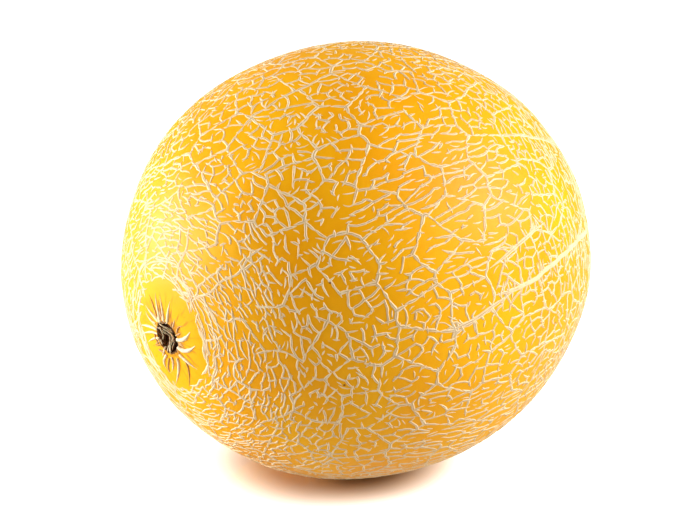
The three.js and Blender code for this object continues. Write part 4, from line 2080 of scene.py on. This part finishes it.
@dataclass
class BlossomScar:
    """The low corky button at the far end, cracked out from its middle."""

    rind: Rind
    radius: float = 4.4
    height: float = 0.75
    depth: float = 0.5
    hollow: float = 0.35
    turns: int = 96
    petals: int = 9

    def build(self, cork: CorkFinish, material: Material) -> bpy.types.Object:
        """Build and dress the button, closed under the skin.

        Args:
            cork: its finish.
            material: the finish's material.

        Returns:
            The piece.
        """
        rind = self.rind
        share, turns = polar_grid(np.linspace(0.07, 1, 24), self.turns)
        away = share * (self.radius + 0.5 * ragged(turns, 41, (3, 5, 8, 13)))
        cracks = np.abs(np.sin(turns * self.petals / 2 + 0.6 * ragged(turns, 43, (2, 3, 7)))) ** 0.35
        dome = (1 - share**3.2) ** 0.6
        rings_up = 0.16 * np.sin(share * 19 + 0.8 * ragged(turns, 47, (3, 6)))
        sunk = self.hollow * np.exp(-((share / 0.2) ** 2))
        top = self.height * dome * (0.62 + 0.38 * cracks) + rings_up * dome - sunk
        n = rind.direction_at(180 - np.degrees(away / rind.mean_radius), np.degrees(turns))
        rings = rind.points_at(n, top - 0.1 * share)
        below = rind.points_at(n, np.full(away.shape, -self.depth))[::-1]
        poles = np.array([-rind.pole, -rind.pole])
        ends = rind.points_at(poles, np.array([self.height * 0.3, -self.depth]))
        mesh = ringed_mesh("blossom_button", np.vstack([rings, below]), ends[0], ends[1])
        store(mesh, "across", np.concatenate([share.ravel(), share[::-1].ravel(), [0, 0]]))
        shade = 1.5 - cracks
        store(mesh, "shade", np.concatenate([shade.ravel(), shade[::-1].ravel(), [1.5, 1.5]]))
        mesh.materials.append(material)
        return add_piece(mesh, cork.slot)


@dataclass(frozen=True)
class Softbox:
    """A soft light that faces the melon: its place and its size in metres, its power in watts."""

    name: str
    place: Triple
    size: Pair
    power: float
    aim_height: float = 0.07

    def build(self) -> None:
        """Add the light."""
        light = bpy.data.lights.new(self.name, "AREA")
        light.shape = "RECTANGLE"
        light.size, light.size_y = self.size
        light.energy = self.power
        holder = bpy.data.objects.new(self.name, light)
        holder.location = self.place
        aim = Vector(self.place) - Vector((0, 0, self.aim_height))
        holder.rotation_euler = aim.to_track_quat("Z", "Y").to_euler()
        bpy.context.scene.collection.objects.link(holder)


@dataclass
class Studio:
    """The pale floor, the soft lights and the camera."""

    target: Triple = (0, 0, 72)
    azimuth: float = -27.83
    elevation: float = 19.54
    distance: float = 800
    lens: float = 122.44
    sensor_width: float = 36
    shift: Pair = (-2.35, -0.97)
    floor_size: float = 8.0
    surroundings: float = 0.27
    softboxes: tuple[Softbox, ...] = (
        Softbox("left_softbox", place=(-0.965, 0.600, 0.23), size=(0.9, 0.4), power=27.0),
        Softbox("right_softbox", place=(0.865, -0.624, 0.68), size=(0.8, 0.8), power=25.0),
    )

    def build(self) -> None:
        """Build the studio."""
        self.add_camera()
        self.add_floor()
        self.add_surroundings()
        for softbox in self.softboxes:
            softbox.build()

    def add_camera(self) -> None:
        """Add the camera where the photograph was taken from."""
        a, e = math.radians(self.azimuth), math.radians(self.elevation)
        back = Vector((math.sin(a) * math.cos(e), -math.cos(a) * math.cos(e), math.sin(e)))
        right = Vector((math.cos(a), math.sin(a), 0))
        target = Vector(self.target) + right * self.shift[0] + Vector((0, 0, self.shift[1]))
        camera = bpy.data.cameras.new("camera")
        camera.lens = self.lens
        camera.sensor_width = self.sensor_width
        holder = bpy.data.objects.new("camera", camera)
        holder.location = (target + back * self.distance) * MM
        holder.rotation_euler = back.to_track_quat("Z", "Y").to_euler()
        bpy.context.scene.collection.objects.link(holder)
        bpy.context.scene.camera = holder

    def add_floor(self) -> None:
        """Add the plain pale floor."""
        half = self.floor_size / 2
        corners = [(-half, -half, 0), (half, -half, 0), (half, half, 0), (-half, half, 0)]
        mesh = bpy.data.meshes.new("floor")
        mesh.from_pydata(corners, [], [(0, 1, 2, 3)])
        mesh.materials.append(FloorFinish().make())
        floor = bpy.data.objects.new("floor", mesh)
        bpy.context.scene.collection.objects.link(floor)

    def add_surroundings(self) -> None:
        """Add the white surroundings, and show colours as they are."""
        world = bpy.data.worlds.new("surroundings")
        world.use_nodes = True
        background = world.node_tree.nodes["Background"]
        background.inputs["Color"].default_value = (1, 1, 1, 1)
        background.inputs["Strength"].default_value = self.surroundings
        bpy.context.scene.world = world
        bpy.context.scene.view_settings.view_transform = "Standard"


def main() -> None:
    """Build the melon and its studio."""
    rind = Rind()
    web = Web(rind)
    rind.centre = web.centre_shift()
    LOG.info("web: %d cells", len(web.cells))
    cords = NetGrowth(web).grow()
    LOG.info("net: %d cords", len(cords))
    make_mottle_group()
    make_fine_grain_group()
    stem = StemShape(rind)
    skin = Skin(rind, stem)
    skin.build(cords, SkinFinish(specks=skin.speck_places()))
    tree = CordTree()
    cork = CorkFinish()
    cork_material = cork.make()
    Net(rind).build(cords, tree, cork, cork_material)
    StemScar(stem).build(tree, ScarFinish(), FibreFinish())
    BlossomScar(rind).build(cork, cork_material)
    Studio().build()


if __name__ == "__main__":
    logging.basicConfig(level=logging.INFO, format="%(message)s")
    main()
